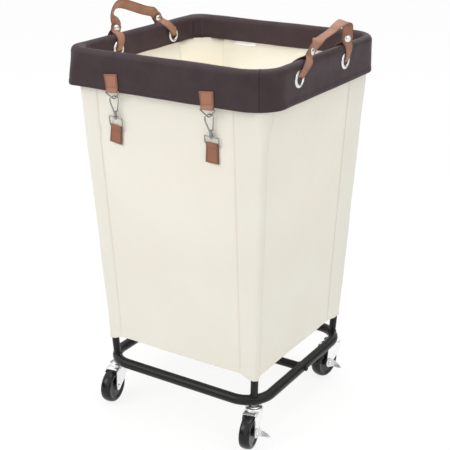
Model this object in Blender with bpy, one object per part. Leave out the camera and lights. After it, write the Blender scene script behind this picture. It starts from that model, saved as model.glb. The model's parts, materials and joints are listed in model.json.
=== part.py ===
"""Square canvas laundry cart on four swivel casters.

Units are metres, +Z is up.  The origin is on the floor under the middle of
the bag.  The side with the two clips is the front (-Y), the handles are on the
left (-X) and right (+X) sides.

A bent tube ring carries the casters and four splayed posts; the posts carry a
rim ring; a tapered canvas bag hangs from the rim and a leather-look cuff is
folded over the rim.
"""

import math

import bmesh
import bpy
from mathutils import Euler, Matrix, Vector

for _ob in list(bpy.data.objects):
    bpy.data.objects.remove(_ob, do_unlink=True)

# ---------------------------------------------------------------- dimensions
GAP = 0.0003

RING_HALF = 0.195  # base ring, middle of the tube, from the centre line
RING_BEND = 0.058
RING_R = 0.011
RING_WALL = 0.0015
RING_Z = 0.097

RIM_HALF = 0.227
RIM_BEND = 0.055
RIM_R = 0.006
RIM_WALL = 0.0012
RIM_Z = 0.7909

POST_R = 0.008
POST_WALL = 0.0012
POST_TOP_Z = 0.7841

BAR_R = 0.0095
BAR_Y = -0.003

CUFF_T = 0.0015
CUFF_OFF = 0.0098  # outer surface of the cuff, from the rim's centre line
CUFF_SPRING_Z = 0.7885  # where the straight legs turn into the crest
CUFF_CREST_Z = 0.7990
CUFF_OUT_Z = 0.7240
CUFF_IN_Z = 0.7500
CUFF_IN_OFF = 0.0129  # the inner leg follows the splay of the posts

FLOOR_Z = 0.1597  # top of the bag's floor
FLOOR_T = 0.0022
FLOOR_HALF = 0.1870
WALL_T = 0.0015
WALL_BOTTOM_Z = 0.1570
WALL_TOP_Z = 0.7570
WALL_HALF_BOTTOM = 0.1915  # outer face of a wall at WALL_BOTTOM_Z
WALL_HALF_TOP = 0.2252  # outer face of a wall at WALL_TOP_Z
BAG_BEND_BOTTOM = 0.0120  # the corners wrap round the posts
BAG_BEND_TOP = 0.0300

GROMMET_Z = 0.7700
GROMMET_HOLE = 0.0106
GROMMET_FLANGE = 0.0176
HANDLE_HOLES = {  # y of the slanted and the upright end of each handle's strap
    "left": (0.1131, -0.0873),
    "right": (-0.1251, 0.0663),
}
HANDLE_RIVETS = {"left": (0.0770, -0.0715), "right": (-0.0724, 0.0800)}
HANDLE_OUT = 0.0050  # the joined ends lean out over the rim by this much
STRAP_T = 0.0020
RIVET_Z = 0.8110
FOLD_Z = 0.8205  # a handle folds about this level

WHEEL_R = 0.0375
WHEEL_HALF = 0.0116
TRAIL = 0.0270
AXLE_R = 0.0030
CASTERS = {
    # name: (side in x, side in y, heading of the wheel from the swivel, brake)
    "front_left": (-1, -1, 278.3, False),
    "front_right": (1, -1, 281.0, True),
    "back_right": (1, 1, 260.4, True),
    "back_left": (-1, 1, 98.3, False),
}

TAB_T = 0.0012

# where the tube bends are cut by the diagonals
MID = 1.0 - math.sqrt(0.5)
POST_FOOT = RING_HALF - RING_BEND * MID
POST_HEAD = RIM_HALF - RIM_BEND * MID


# ----------------------------------------------------------------- materials
def material(name, colour, roughness, metallic=0.0):
    mat = bpy.data.materials.new(name)
    mat.use_nodes = True
    bsdf = mat.node_tree.nodes["Principled BSDF"]
    bsdf.inputs["Base Color"].default_value = (*colour, 1.0)
    bsdf.inputs["Roughness"].default_value = roughness
    bsdf.inputs["Metallic"].default_value = metallic
    return mat


FRAME = ("frame_black", (0.030, 0.030, 0.032), 0.38, 0.0)
CANVAS = ("canvas_cream", (0.86, 0.82, 0.70), 0.90, 0.0)
CUFF = ("cuff_brown", (0.072, 0.048, 0.052), 0.50, 0.0)
STRAP = ("strap_tan", (0.42, 0.19, 0.10), 0.60, 0.0)
NICKEL = ("nickel", (0.78, 0.77, 0.75), 0.22, 1.0)
ZINC = ("bright_zinc", (0.80, 0.81, 0.83), 0.25, 1.0)
RUBBER = ("wheel_black", (0.018, 0.018, 0.018), 0.32, 0.0)


# -------------------------------------------------------------- mesh helpers
def finish(name, bm, mat, parent=None, angle=38.0, flat=False):
    """Turn a bmesh into a named object with its own material."""
    bmesh.ops.recalc_face_normals(bm, faces=bm.faces)
    if bm.calc_volume(signed=True) < 0.0:
        bmesh.ops.reverse_faces(bm, faces=bm.faces)
    mesh = bpy.data.meshes.new(name)
    bm.to_mesh(mesh)
    bm.free()
    ob = bpy.data.objects.new(name, mesh)
    bpy.context.collection.objects.link(ob)
    if mat is not None:
        mesh.materials.append(material(name + "_" + mat[0], *mat[1:]))
    if not flat:
        mesh.shade_smooth()
        mesh.set_sharp_from_angle(angle=math.radians(angle))
    if parent is not None:
        ob.parent = parent
    return ob


def empty(name, location, rotation=(0.0, 0.0, 0.0), parent=None):
    ob = bpy.data.objects.new(name, None)
    bpy.context.collection.objects.link(ob)
    ob.location = location
    ob.rotation_euler = rotation
    ob.parent = parent
    return ob


def guide(ob):
    """Hide an operand: it only shapes other pieces."""
    ob.hide_render = True
    ob.display_type = "WIRE"
    return ob


def boolean(ob, operand, operation="DIFFERENCE"):
    mod = ob.modifiers.new(operation.title(), "BOOLEAN")
    mod.operation = operation
    mod.solver = "EXACT"
    mod.object = guide(operand)
    return mod


def skin(bm, rings, closed_path, closed_section=True, caps=True):
    """Join rings of vertices (one ring per station) with quads."""
    count = len(rings)
    for i in range(count if closed_path else count - 1):
        a, b = rings[i], rings[(i + 1) % count]
        n = len(a)
        for j in range(n if closed_section else n - 1):
            k = (j + 1) % n
            bm.faces.new((a[j], a[k], b[k], b[j]))
    if not closed_path and caps:
        bm.faces.new(list(reversed(rings[0])))
        bm.faces.new(rings[-1])


def sweep(bm, stations, closed_path=False):
    """stations: lists of points, one closed section each."""
    rings = [[bm.verts.new(p) for p in station] for station in stations]
    skin(bm, rings, closed_path)
    return rings


def lathe(bm, profile, segments, axis="Z", closed=False, origin=(0, 0, 0), turn=0.0):
    """Turn a profile of (radius, height) about an axis.  closed joins the last
    point to the first, for a ring; otherwise both ends lie on the axis."""
    o = Vector(origin)

    def place(r, h, a):
        c, s = r * math.cos(a), r * math.sin(a)
        if axis == "Z":
            return o + Vector((c, s, h))
        if axis == "X":
            return o + Vector((h, c, s))
        return o + Vector((c, h, s))

    rows = []
    for r, h in profile:
        if r <= 1e-9:
            rows.append([bm.verts.new(place(0.0, h, 0.0))])
        else:
            rows.append(
                [
                    bm.verts.new(place(r, h, turn + 2 * math.pi * i / segments))
                    for i in range(segments)
                ]
            )
    pairs = list(zip(rows, rows[1:]))
    if closed:
        pairs.append((rows[-1], rows[0]))
    for a, b in pairs:
        for i in range(segments):
            j = (i + 1) % segments
            if len(a) == 1 and len(b) == 1:
                continue
            if len(a) == 1:
                bm.faces.new((a[0], b[i], b[j]))
            elif len(b) == 1:
                bm.faces.new((a[i], a[j], b[0]))
            else:
                bm.faces.new((a[i], a[j], b[j], b[i]))


def prism(bm, outline, depth_axis, low, high):
    """Extrude a 2-D outline between two levels of one axis."""

    def place(p, level):
        u, v = p
        if depth_axis == "X":
            return (level, u, v)
        if depth_axis == "Y":
            return (u, level, v)
        return (u, v, level)

    a = [bm.verts.new(place(p, low)) for p in outline]
    b = [bm.verts.new(place(p, high)) for p in outline]
    n = len(outline)
    for i in range(n):
        j = (i + 1) % n
        bm.faces.new((a[i], a[j], b[j], b[i]))
    bm.faces.new(list(reversed(a)))
    bm.faces.new(b)


def block(bm, low, high):
    prism(
        bm,
        [(low[0], low[1]), (high[0], low[1]), (high[0], high[1]), (low[0], high[1])],
        "Z",
        low[2],
        high[2],
    )


def rounded_square(half, bend, steps):
    """Points and outward directions round a square with bent corners."""
    c = half - bend
    out = []
    for k, (sx, sy) in enumerate(((1, 1), (-1, 1), (-1, -1), (1, -1))):
        for i in range(steps + 1):
            a = math.radians(90.0 * k + 90.0 * i / steps)
            n = Vector((math.cos(a), math.sin(a), 0.0))
            out.append((Vector((sx * c, sy * c, 0.0)) + n * bend, n))
    return out


def square_tube(bm, half, bend, z, radius, steps, segments):
    stations = []
    for p, n in rounded_square(half, bend, steps):
        stations.append(
            [
                p
                + n * (radius * math.cos(2 * math.pi * i / segments))
                + Vector((0, 0, z + radius * math.sin(2 * math.pi * i / segments)))
                for i in range(segments)
            ]
        )
    sweep(bm, stations, closed_path=True)


def round_section(centre, u, v, radius, segments):
    return [
        centre
        + u * (radius * math.cos(2 * math.pi * i / segments))
        + v * (radius * math.sin(2 * math.pi * i / segments))
        for i in range(segments)
    ]


def wire(bm, points, normal, radius, segments, closed):
    """A round wire along a flat path whose plane has the given normal."""
    n = len(points)
    stations = []
    for i, p in enumerate(points):
        if closed:
            t = (points[(i + 1) % n] - points[i - 1]).normalized()
        elif i == 0:
            t = (points[1] - points[0]).normalized()
        elif i == n - 1:
            t = (points[-1] - points[-2]).normalized()
        else:
            t = (points[i + 1] - points[i - 1]).normalized()
        side = normal.cross(t).normalized()
        stations.append(round_section(p, side, normal, radius, segments))
    sweep(bm, stations, closed_path=closed)


def rod_cutter(name, start, end, radius, segments, parent=None, turn=0.0):
    bm = bmesh.new()
    add_rod(bm, Vector(start), Vector(end), radius, segments, turn)
    return guide(finish(name, bm, None, parent))


def add_rod(bm, start, end, radius, segments, turn=0.0):
    axis = (end - start).normalized()
    ref = Vector((0, 0, 1)) if abs(axis.z) < 0.9 else Vector((1, 0, 0))
    u = axis.cross(ref).normalized()
    v = axis.cross(u).normalized()
    rot = Matrix.Rotation(turn, 3, axis)
    u, v = rot @ u, rot @ v
    sweep(
        bm,
        [
            round_section(start, u, v, radius, segments),
            round_section(end, u, v, radius, segments),
        ],
    )


# ---------------------------------------------------------------- base frame
def caster_places():
    return {
        name: Vector((sx * POST_FOOT, sy * POST_FOOT, 0.0))
        for name, (sx, sy, _h, _b) in CASTERS.items()
    }


PLACES = caster_places()

bm = bmesh.new()
square_tube(bm, RING_HALF, RING_BEND, RING_Z, RING_R, 6, 12)
base_ring = finish("base_ring", bm, FRAME)

bm = bmesh.new()
square_tube(bm, RING_HALF, RING_BEND, RING_Z, RING_R - RING_WALL, 6, 6)
boolean(base_ring, finish("base_ring_bore", bm, None))

# stem holes under the bends, bolt holes through both walls for the cross bar
bm = bmesh.new()
for place in PLACES.values():
    add_rod(
        bm,
        place + Vector((0, 0, RING_Z - RING_R - 0.004)),
        place + Vector((0, 0, RING_Z)),
        0.0053,
        12,
    )
for sx in (-1, 1):
    add_rod(
        bm,
        Vector((sx * (RING_HALF - RING_R - 0.005), BAR_Y, RING_Z)),
        Vector((sx * (RING_HALF + RING_R + 0.005), BAR_Y, RING_Z)),
        0.0034,
        12,
    )
boolean(base_ring, finish("base_ring_holes", bm, None))

# saddle cuts for whatever is welded to the ring
bm = bmesh.new()
square_tube(bm, RING_HALF, RING_BEND, RING_Z, RING_R + GAP, 6, 12)
ring_saddle = guide(finish("base_ring_saddle", bm, None))


def tube(name, start, end, radius, wall, segments, mat):
    """An open-ended straight tube."""
    axis = (end - start).normalized()
    u = axis.cross(Vector((0, 1, 0)) if abs(axis.y) < 0.7 else Vector((1, 0, 0)))
    u = u.normalized()
    v = axis.cross(u).normalized()
    bm = bmesh.new()
    rings = []
    for centre, r in (
        (start, radius),
        (end, radius),
        (end, radius - wall),
        (start, radius - wall),
    ):
        rings.append(
            [bm.verts.new(p) for p in round_section(centre, u, v, r, segments)]
        )
    for k in range(4):
        a, b = rings[k], rings[(k + 1) % 4]
        for i in range(segments):
            j = (i + 1) % segments
            bm.faces.new((a[i], a[j], b[j], b[i]))
    return finish(name, bm, mat)


for name, (sx, sy, _h, _b) in CASTERS.items():
    foot = Vector((sx * POST_FOOT, sy * POST_FOOT, RING_Z))
    head = Vector((sx * POST_HEAD, sy * POST_HEAD, RIM_Z))
    slope = (head - foot) / (RIM_Z - RING_Z)
    start = foot + slope * 0.004
    end = foot + slope * (POST_TOP_Z - RING_Z)
    post = tube("corner_post_" + name, start, end, POST_R, POST_WALL, 14, FRAME)
    boolean(post, ring_saddle)

half_bar = RING_HALF - 0.004
cross_bar = tube(
    "cross_bar",
    Vector((-half_bar, BAR_Y, RING_Z)),
    Vector((half_bar, BAR_Y, RING_Z)),
    BAR_R,
    0.0012,
    14,
    FRAME,
)
boolean(cross_bar, ring_saddle)

for side, sx in (("left", -1), ("right", 1)):
    face = RING_HALF + RING_R + GAP
    bm = bmesh.new()
    lathe(
        bm,
        [
            (0.0, sx * (face + 0.0038)),
            (0.0050, sx * (face + 0.0035)),
            (0.0062, sx * (face + 0.0024)),
            (0.0062, sx * face),
            (0.0030, sx * face),
            (0.0030, sx * (face - 0.0420)),
            (0.0, sx * (face - 0.0430)),
        ],
        12,
        axis="X",
        origin=(0.0, BAR_Y, RING_Z),
    )
    finish("cross_bar_bolt_" + side, bm, FRAME)

# ----------------------------------------------------------------- rim ring
bm = bmesh.new()
square_tube(bm, RIM_HALF, RIM_BEND, RIM_Z, RIM_R, 4, 8)
top_ring = finish("top_ring", bm, FRAME)
bm = bmesh.new()
square_tube(bm, RIM_HALF, RIM_BEND, RIM_Z, RIM_R - RIM_WALL, 4, 6)
boolean(top_ring, finish("top_ring_bore", bm, None))
# weld vents over the posts
bm = bmesh.new()
for sx, sy, _h, _b in CASTERS.values():
    c = Vector((sx * POST_HEAD, sy * POST_HEAD, 0.0))
    add_rod(
        bm,
        c + Vector((0, 0, RIM_Z - RIM_R - 0.003)),
        c + Vector((0, 0, RIM_Z)),
        0.0025,
        8,
    )
boolean(top_ring, finish("top_ring_vents", bm, None))

# ---------------------------------------------------------------------- cuff
SIDES = {"right": 1, "left": -1}


def handle_ends(side):
    """(y of the slanted end, y of the upright end)"""
    return HANDLE_HOLES[side]


def crest(half_width, height, steps):
    return [
        (
            half_width * math.cos(math.pi * i / steps),
            CUFF_SPRING_Z + height * math.sin(math.pi * i / steps),
        )
        for i in range(steps + 1)
    ]


inner_off = CUFF_OFF - CUFF_T
outer_line = (
    [(CUFF_OFF, CUFF_OUT_Z)]
    + crest(CUFF_OFF, CUFF_CREST_Z - CUFF_SPRING_Z, 8)
    + [(-CUFF_IN_OFF, CUFF_IN_Z)]
)
inner_line = (
    [(inner_off, CUFF_OUT_Z)]
    + crest(inner_off, CUFF_CREST_Z - CUFF_T - CUFF_SPRING_Z, 8)
    + [(-CUFF_IN_OFF + CUFF_T, CUFF_IN_Z)]
)
cuff_section = outer_line + list(reversed(inner_line))
bm = bmesh.new()
sweep(
    bm,
    [
        [p + n * off + Vector((0, 0, z)) for off, z in cuff_section]
        for p, n in rounded_square(RIM_HALF, RIM_BEND, 4)
    ],
    closed_path=True,
)
cuff = finish("cuff", bm, CUFF)

bm = bmesh.new()
for side, s in SIDES.items():
    for y in handle_ends(side):
        add_rod(
            bm,
            Vector((s * (RIM_HALF - 0.016), y, GROMMET_Z)),
            Vector((s * (RIM_HALF + 0.016), y, GROMMET_Z)),
            0.0122,
            12,
        )
boolean(cuff, finish("cuff_grommet_holes", bm, None))

# ----------------------------------------------------------------------- bag
wall_slope = (WALL_HALF_TOP - WALL_HALF_BOTTOM) / (WALL_TOP_Z - WALL_BOTTOM_Z)


def wall_half(z):
    return WALL_HALF_BOTTOM + wall_slope * (z - WALL_BOTTOM_Z)


def wall_row(half, bend):
    """Plan of one wall: the flat and half of the corner at each end."""
    c = half - bend
    turns = [math.radians(44.0 * i / 3.0) for i in range(4)]
    ends = [(-1, -a) for a in reversed(turns)] + [(1, a) for a in turns]
    outer = [(c + bend * math.cos(a), k * c + bend * math.sin(a)) for k, a in ends]
    r = bend - WALL_T
    inner = [(c + r * math.cos(a), k * c + r * math.sin(a)) for k, a in ends]
    return outer + list(reversed(inner))


for name, turn in (("right", 0), ("back", 90), ("left", 180), ("front", 270)):
    rot = Matrix.Rotation(math.radians(turn), 4, "Z")
    bm = bmesh.new()
    rings = []
    for z, bend in ((WALL_BOTTOM_Z, BAG_BEND_BOTTOM), (WALL_TOP_Z, BAG_BEND_TOP)):
        rings.append(
            [
                bm.verts.new(rot @ Vector((x, y, z)))
                for x, y in wall_row(wall_half(z), bend)
            ]
        )
    skin(bm, rings, closed_path=False)
    finish("bag_" + name + "_panel", bm, CANVAS)

cut = 0.0255
outline = []
for sx, sy in ((1, 1), (-1, 1), (-1, -1), (1, -1)):
    a = (sx * FLOOR_HALF, sy * (FLOOR_HALF - cut))
    b = (sx * (FLOOR_HALF - cut), sy * FLOOR_HALF)
    outline += [a, b] if sx * sy > 0 else [b, a]
bm = bmesh.new()
prism(bm, outline, "Z", FLOOR_Z - FLOOR_T, FLOOR_Z)
finish("bag_floor_panel", bm, CANVAS, flat=True)

# ------------------------------------------------------- grommets and handles
LOOP_OUTSIDE = (
    # offset from the rim's centre line, height: up the outer face
    (0.0000, 0.7700),
    (0.0070, 0.7700),
    (0.0112, 0.7708),
    (0.0130, 0.7745),
    (0.0134, 0.7800),
    (0.0130, 0.7890),
    (0.0117, 0.7965),
    (0.0093, 0.8010),
    (0.0072, 0.8033),
    (0.0063, 0.8057),
    (0.0063, 0.8160),
)
LOOP_INSIDE = (
    # over the crest and down inside, standing off the sloping inner leg
    (0.0037, 0.8160),
    (0.0037, 0.8056),
    (0.0022, 0.8034),
    (-0.0014, 0.8022),
    (-0.0060, 0.8010),
    (-0.0108, 0.7965),
    (-0.0150, 0.7890),
    (-0.0163, 0.7800),
    (-0.0160, 0.7745),
    (-0.0138, 0.7708),
    (-0.0080, 0.7700),
)


def loop_points():
    return list(LOOP_OUTSIDE) + [(HANDLE_OUT, 0.8173)] + list(LOOP_INSIDE)


def strap_loop(name, side, y_hole, y_rivet):
    """A closed strap loop through the grommet and round the rim, leaning
    along the rim so that it meets the rivet."""
    s = SIDES[side]
    pts = loop_points()
    count = len(pts)
    clear_z = 0.7745  # above this the strap is free of the eyelet
    lean = (y_rivet - y_hole) / (RIVET_Z - clear_z)
    stations = []
    for i, (n, z) in enumerate(pts):
        ahead, behind = pts[(i + 1) % count], pts[i - 1]
        tn, tz = ahead[0] - behind[0], ahead[1] - behind[1]
        length = math.hypot(tn, tz)
        un, uz = -tz / length, tn / length
        half = 0.0072 if z <= clear_z else 0.0100
        y = y_hole + lean * max(z - clear_z, 0.0)
        t = STRAP_T / 2
        stations.append(
            [
                Vector((s * (RIM_HALF + n + un * a), y + b, z + uz * a))
                for a, b in ((-t, -half), (t, -half), (t, half), (-t, half))
            ]
        )
    bm = bmesh.new()
    sweep(bm, stations, closed_path=True)
    ob = finish(name, bm, STRAP)
    hole = rod_cutter(
        name + "_rivet_hole",
        (s * (RIM_HALF + HANDLE_OUT - 0.006), y_rivet, RIVET_Z),
        (s * (RIM_HALF + HANDLE_OUT + 0.006), y_rivet, RIVET_Z),
        0.0022,
        10,
    )
    boolean(ob, hole)
    return ob


# grip: (y, z, direction of the strap's width) from the slanted end to the
# upright end
GRIP = {
    "left": (
        (0.0656, 0.8225, (0.00, 1.00, 0.00)),
        (0.0590, 0.8266, (0.22, 0.80, 0.56)),
        (0.0450, 0.8302, (0.40, 0.38, 0.83)),
        (0.0270, 0.8350, (0.45, 0.30, 0.84)),
        (-0.0060, 0.8462, (0.45, 0.30, 0.84)),
        (-0.0335, 0.8550, (0.45, 0.20, 0.87)),
        (-0.0520, 0.8580, (0.42, 0.00, 0.91)),
        (-0.0650, 0.8555, (0.25, -0.45, 0.86)),
        (-0.0735, 0.8480, (0.05, -0.85, 0.53)),
        (-0.0775, 0.8395, (-0.15, -0.98, 0.12)),
        (-0.0750, 0.8310, (-0.10, -0.99, 0.00)),
        (-0.0665, 0.8225, (0.00, -1.00, 0.00)),
    ),
    "right": (
        (-0.0555, 0.8225, (0.00, 1.00, 0.00)),
        (-0.0480, 0.8270, (0.57, 0.80, 0.10)),
        (-0.0360, 0.8300, (0.87, 0.45, 0.10)),
        (-0.0188, 0.8332, (0.98, 0.20, 0.00)),
        (0.0040, 0.8372, (1.00, 0.00, 0.00)),
        (0.0239, 0.8430, (0.99, 0.10, -0.05)),
        (0.0411, 0.8472, (0.95, 0.15, -0.20)),
        (0.0570, 0.8488, (0.90, 0.22, -0.35)),
        (0.0690, 0.8452, (0.88, 0.35, -0.25)),
        (0.0762, 0.8378, (0.86, 0.50, -0.10)),
        (0.0805, 0.8300, (0.60, 0.80, 0.00)),
        (0.0843, 0.8225, (0.00, 1.00, 0.00)),
    ),
}
GRIP_HALF = 0.0108
GRIP_LEAN = 0.12

for side, s in SIDES.items():
    y_far, y_near = handle_ends(side)
    for tag, y_hole, y_rivet in (
        ("slanted", y_far, HANDLE_RIVETS[side][0]),
        ("upright", y_near, HANDLE_RIVETS[side][1]),
    ):
        # eyelet with a flange on both faces of the cuff
        face = CUFF_OFF + GAP
        back = -0.0128
        bm = bmesh.new()
        lathe(
            bm,
            [
                (GROMMET_HOLE, s * (back - 0.0013)),
                (GROMMET_HOLE + 0.0022, s * (back - 0.0016)),
                (GROMMET_FLANGE, s * (back - 0.0004)),
                (GROMMET_FLANGE, s * back),
                (0.0116, s * back),
                (0.0116, s * face),
                (GROMMET_FLANGE, s * face),
                (GROMMET_FLANGE, s * (face + 0.0004)),
                (GROMMET_HOLE + 0.0022, s * (face + 0.0016)),
                (GROMMET_HOLE, s * (face + 0.0013)),
            ],
            14,
            axis="X",
            closed=True,
            origin=(s * RIM_HALF, y_hole, GROMMET_Z),
        )
        finish("grommet_%s_%s" % (side, tag), bm, NICKEL)

        strap_loop("handle_loop_%s_%s" % (side, tag), side, y_hole, y_rivet)

        inside = 0.0013 + STRAP_T / 2 + GAP
        bm = bmesh.new()
        lathe(
            bm,
            [
                (0.0, inside + 0.0018),
                (0.0032, inside + 0.0016),
                (0.0050, inside + 0.0006),
                (0.0050, inside),
                (0.0018, inside),
                (0.0018, -inside),
                (0.0050, -inside),
                (0.0050, -inside - 0.0006),
                (0.0032, -inside - 0.0016),
                (0.0, -inside - 0.0018),
            ],
            10,
            axis="X",
            origin=(s * (RIM_HALF + HANDLE_OUT), y_rivet, RIVET_Z),
        )
        finish("handle_rivet_%s_%s" % (side, tag), bm, NICKEL)

    # the grip turns about the fold line above the rivets
    pivot = empty("handle_fold_" + side, (s * (RIM_HALF + HANDLE_OUT), 0.0, FOLD_Z))
    bm = bmesh.new()
    stations = []
    grip = []
    for a, b in zip(GRIP[side], GRIP[side][1:]):
        grip.append(a)
        if side == "left":  # it twists faster, so it has sections halfway too
            middle = (Vector(a[2]) + Vector(b[2])) / 2
            grip.append(((a[0] + b[0]) / 2, (a[1] + b[1]) / 2, tuple(middle)))
    grip.append(GRIP[side][-1])
    path = [
        Vector((s * GRIP_LEAN * (z - grip[0][1]), y, z - FOLD_Z)) for y, z, _w in grip
    ]
    for i, (_y, _z, across) in enumerate(grip):
        a = path[max(i - 1, 0)]
        b = path[min(i + 1, len(path) - 1)]
        t = (b - a).normalized()
        width = Vector(across)
        if i not in (0, len(grip) - 1):
            width -= t * width.dot(t)
        width.normalize()
        thick = t.cross(width).normalized()
        if i in (0, len(grip) - 1):
            thick = Vector((1.0, 0.0, 0.0)) if thick.x > 0 else Vector((-1.0, 0.0, 0.0))
        h = STRAP_T / 2
        stations.append(
            [
                path[i] + width * u + thick * v
                for u, v in (
                    (-GRIP_HALF, -h),
                    (GRIP_HALF, -h),
                    (GRIP_HALF, h),
                    (-GRIP_HALF, h),
                )
            ]
        )
    sweep(bm, stations)
    finish("handle_grip_" + side, bm, STRAP, parent=pivot)

# --------------------------------------------------------------------- clips
CUFF_FACE = -(RIM_HALF + CUFF_OFF)  # front face of the cuff, in y
UPPER_BAR_OFF = 0.0029  # middle of a tab's fold from the surface it is sewn to
LOWER_BAR_OFF = 0.0032
WIRE_R = 0.0012


def fold_tab(name, x, half_end, half_fold, surface, bar_z, bar_off, end_z, turn):
    """A short strap folded round a wire bar and sewn flat.  surface(z) gives
    the y of the cloth behind it; the fold is at bar_z, the ends at end_z.  The
    tab is turned about the middle of its bar."""
    t = TAB_T
    up = 1.0 if end_z > bar_z else -1.0
    r_in = WIRE_R + GAP
    r_out = r_in + t
    centre = (surface(bar_z) - bar_off, bar_z)

    def at(n, z):
        """n: distance in front of the cloth"""
        return (surface(z) - n, z)

    slit = 0.0004
    back0, back1 = GAP, GAP + t
    front0, front1 = back1 + slit, back1 + slit + t
    neck_z = bar_z + up * 0.0040
    outer, inner = [], []
    # round the bar from the front, under it, to the back
    for i in range(9):
        a = math.radians(-52.0 + (284.0) * i / 8.0)
        ca, sa = math.cos(a), math.sin(a)
        outer.append((centre[0] - r_out * ca, centre[1] - up * r_out * sa))
        inner.append((centre[0] - r_in * ca, centre[1] - up * r_in * sa))
    outline = (
        [at(front1, end_z), at(front1, neck_z)]
        + outer
        + [at(back0, neck_z), at(back0, end_z), at(back1, end_z), at(back1, neck_z)]
        + list(reversed(inner))
        + [at(front0, neck_z), at(front0, end_z)]
    )
    bm = bmesh.new()
    rows = []
    for sgn in (-1, 1):
        row = []
        for y, z in outline:
            f = min(max((z - bar_z) / (end_z - bar_z), 0.0), 1.0)
            half = half_fold + (half_end - half_fold) * f
            dx, dz = sgn * half, z - bar_z
            row.append(
                bm.verts.new(
                    (
                        x + dx * math.cos(turn) + dz * math.sin(turn),
                        y,
                        bar_z + dz * math.cos(turn) - dx * math.sin(turn),
                    )
                )
            )
        rows.append(row)
    n = len(outline)
    for i in range(n):
        j = (i + 1) % n
        bm.faces.new((rows[0][i], rows[0][j], rows[1][j], rows[1][i]))
    bm.faces.new(list(reversed(rows[0])))
    bm.faces.new(rows[1])
    return finish(name, bm, STRAP)


def on_cuff(_z):
    return CUFF_FACE


def on_wall(z):
    return -wall_half(z)


HOOK_TURN = 44.0  # the hook lies turned in the ring, about its own length
LONG = 0.0070  # length of the hook's straight sides below its bow
CLIPS = {
    # upper tab: x and z of its bar, top, turn; ring height; lower tab: x and z
    # of its bar, bottom
    "left": (-0.1140, 0.7240, 0.7555, -6.5, 0.0152, -0.1205, 0.6490, 0.6130),
    "right": (0.1077, 0.7200, 0.7525, -5.5, 0.0165, 0.1067, 0.6480, 0.6095),
}

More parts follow.
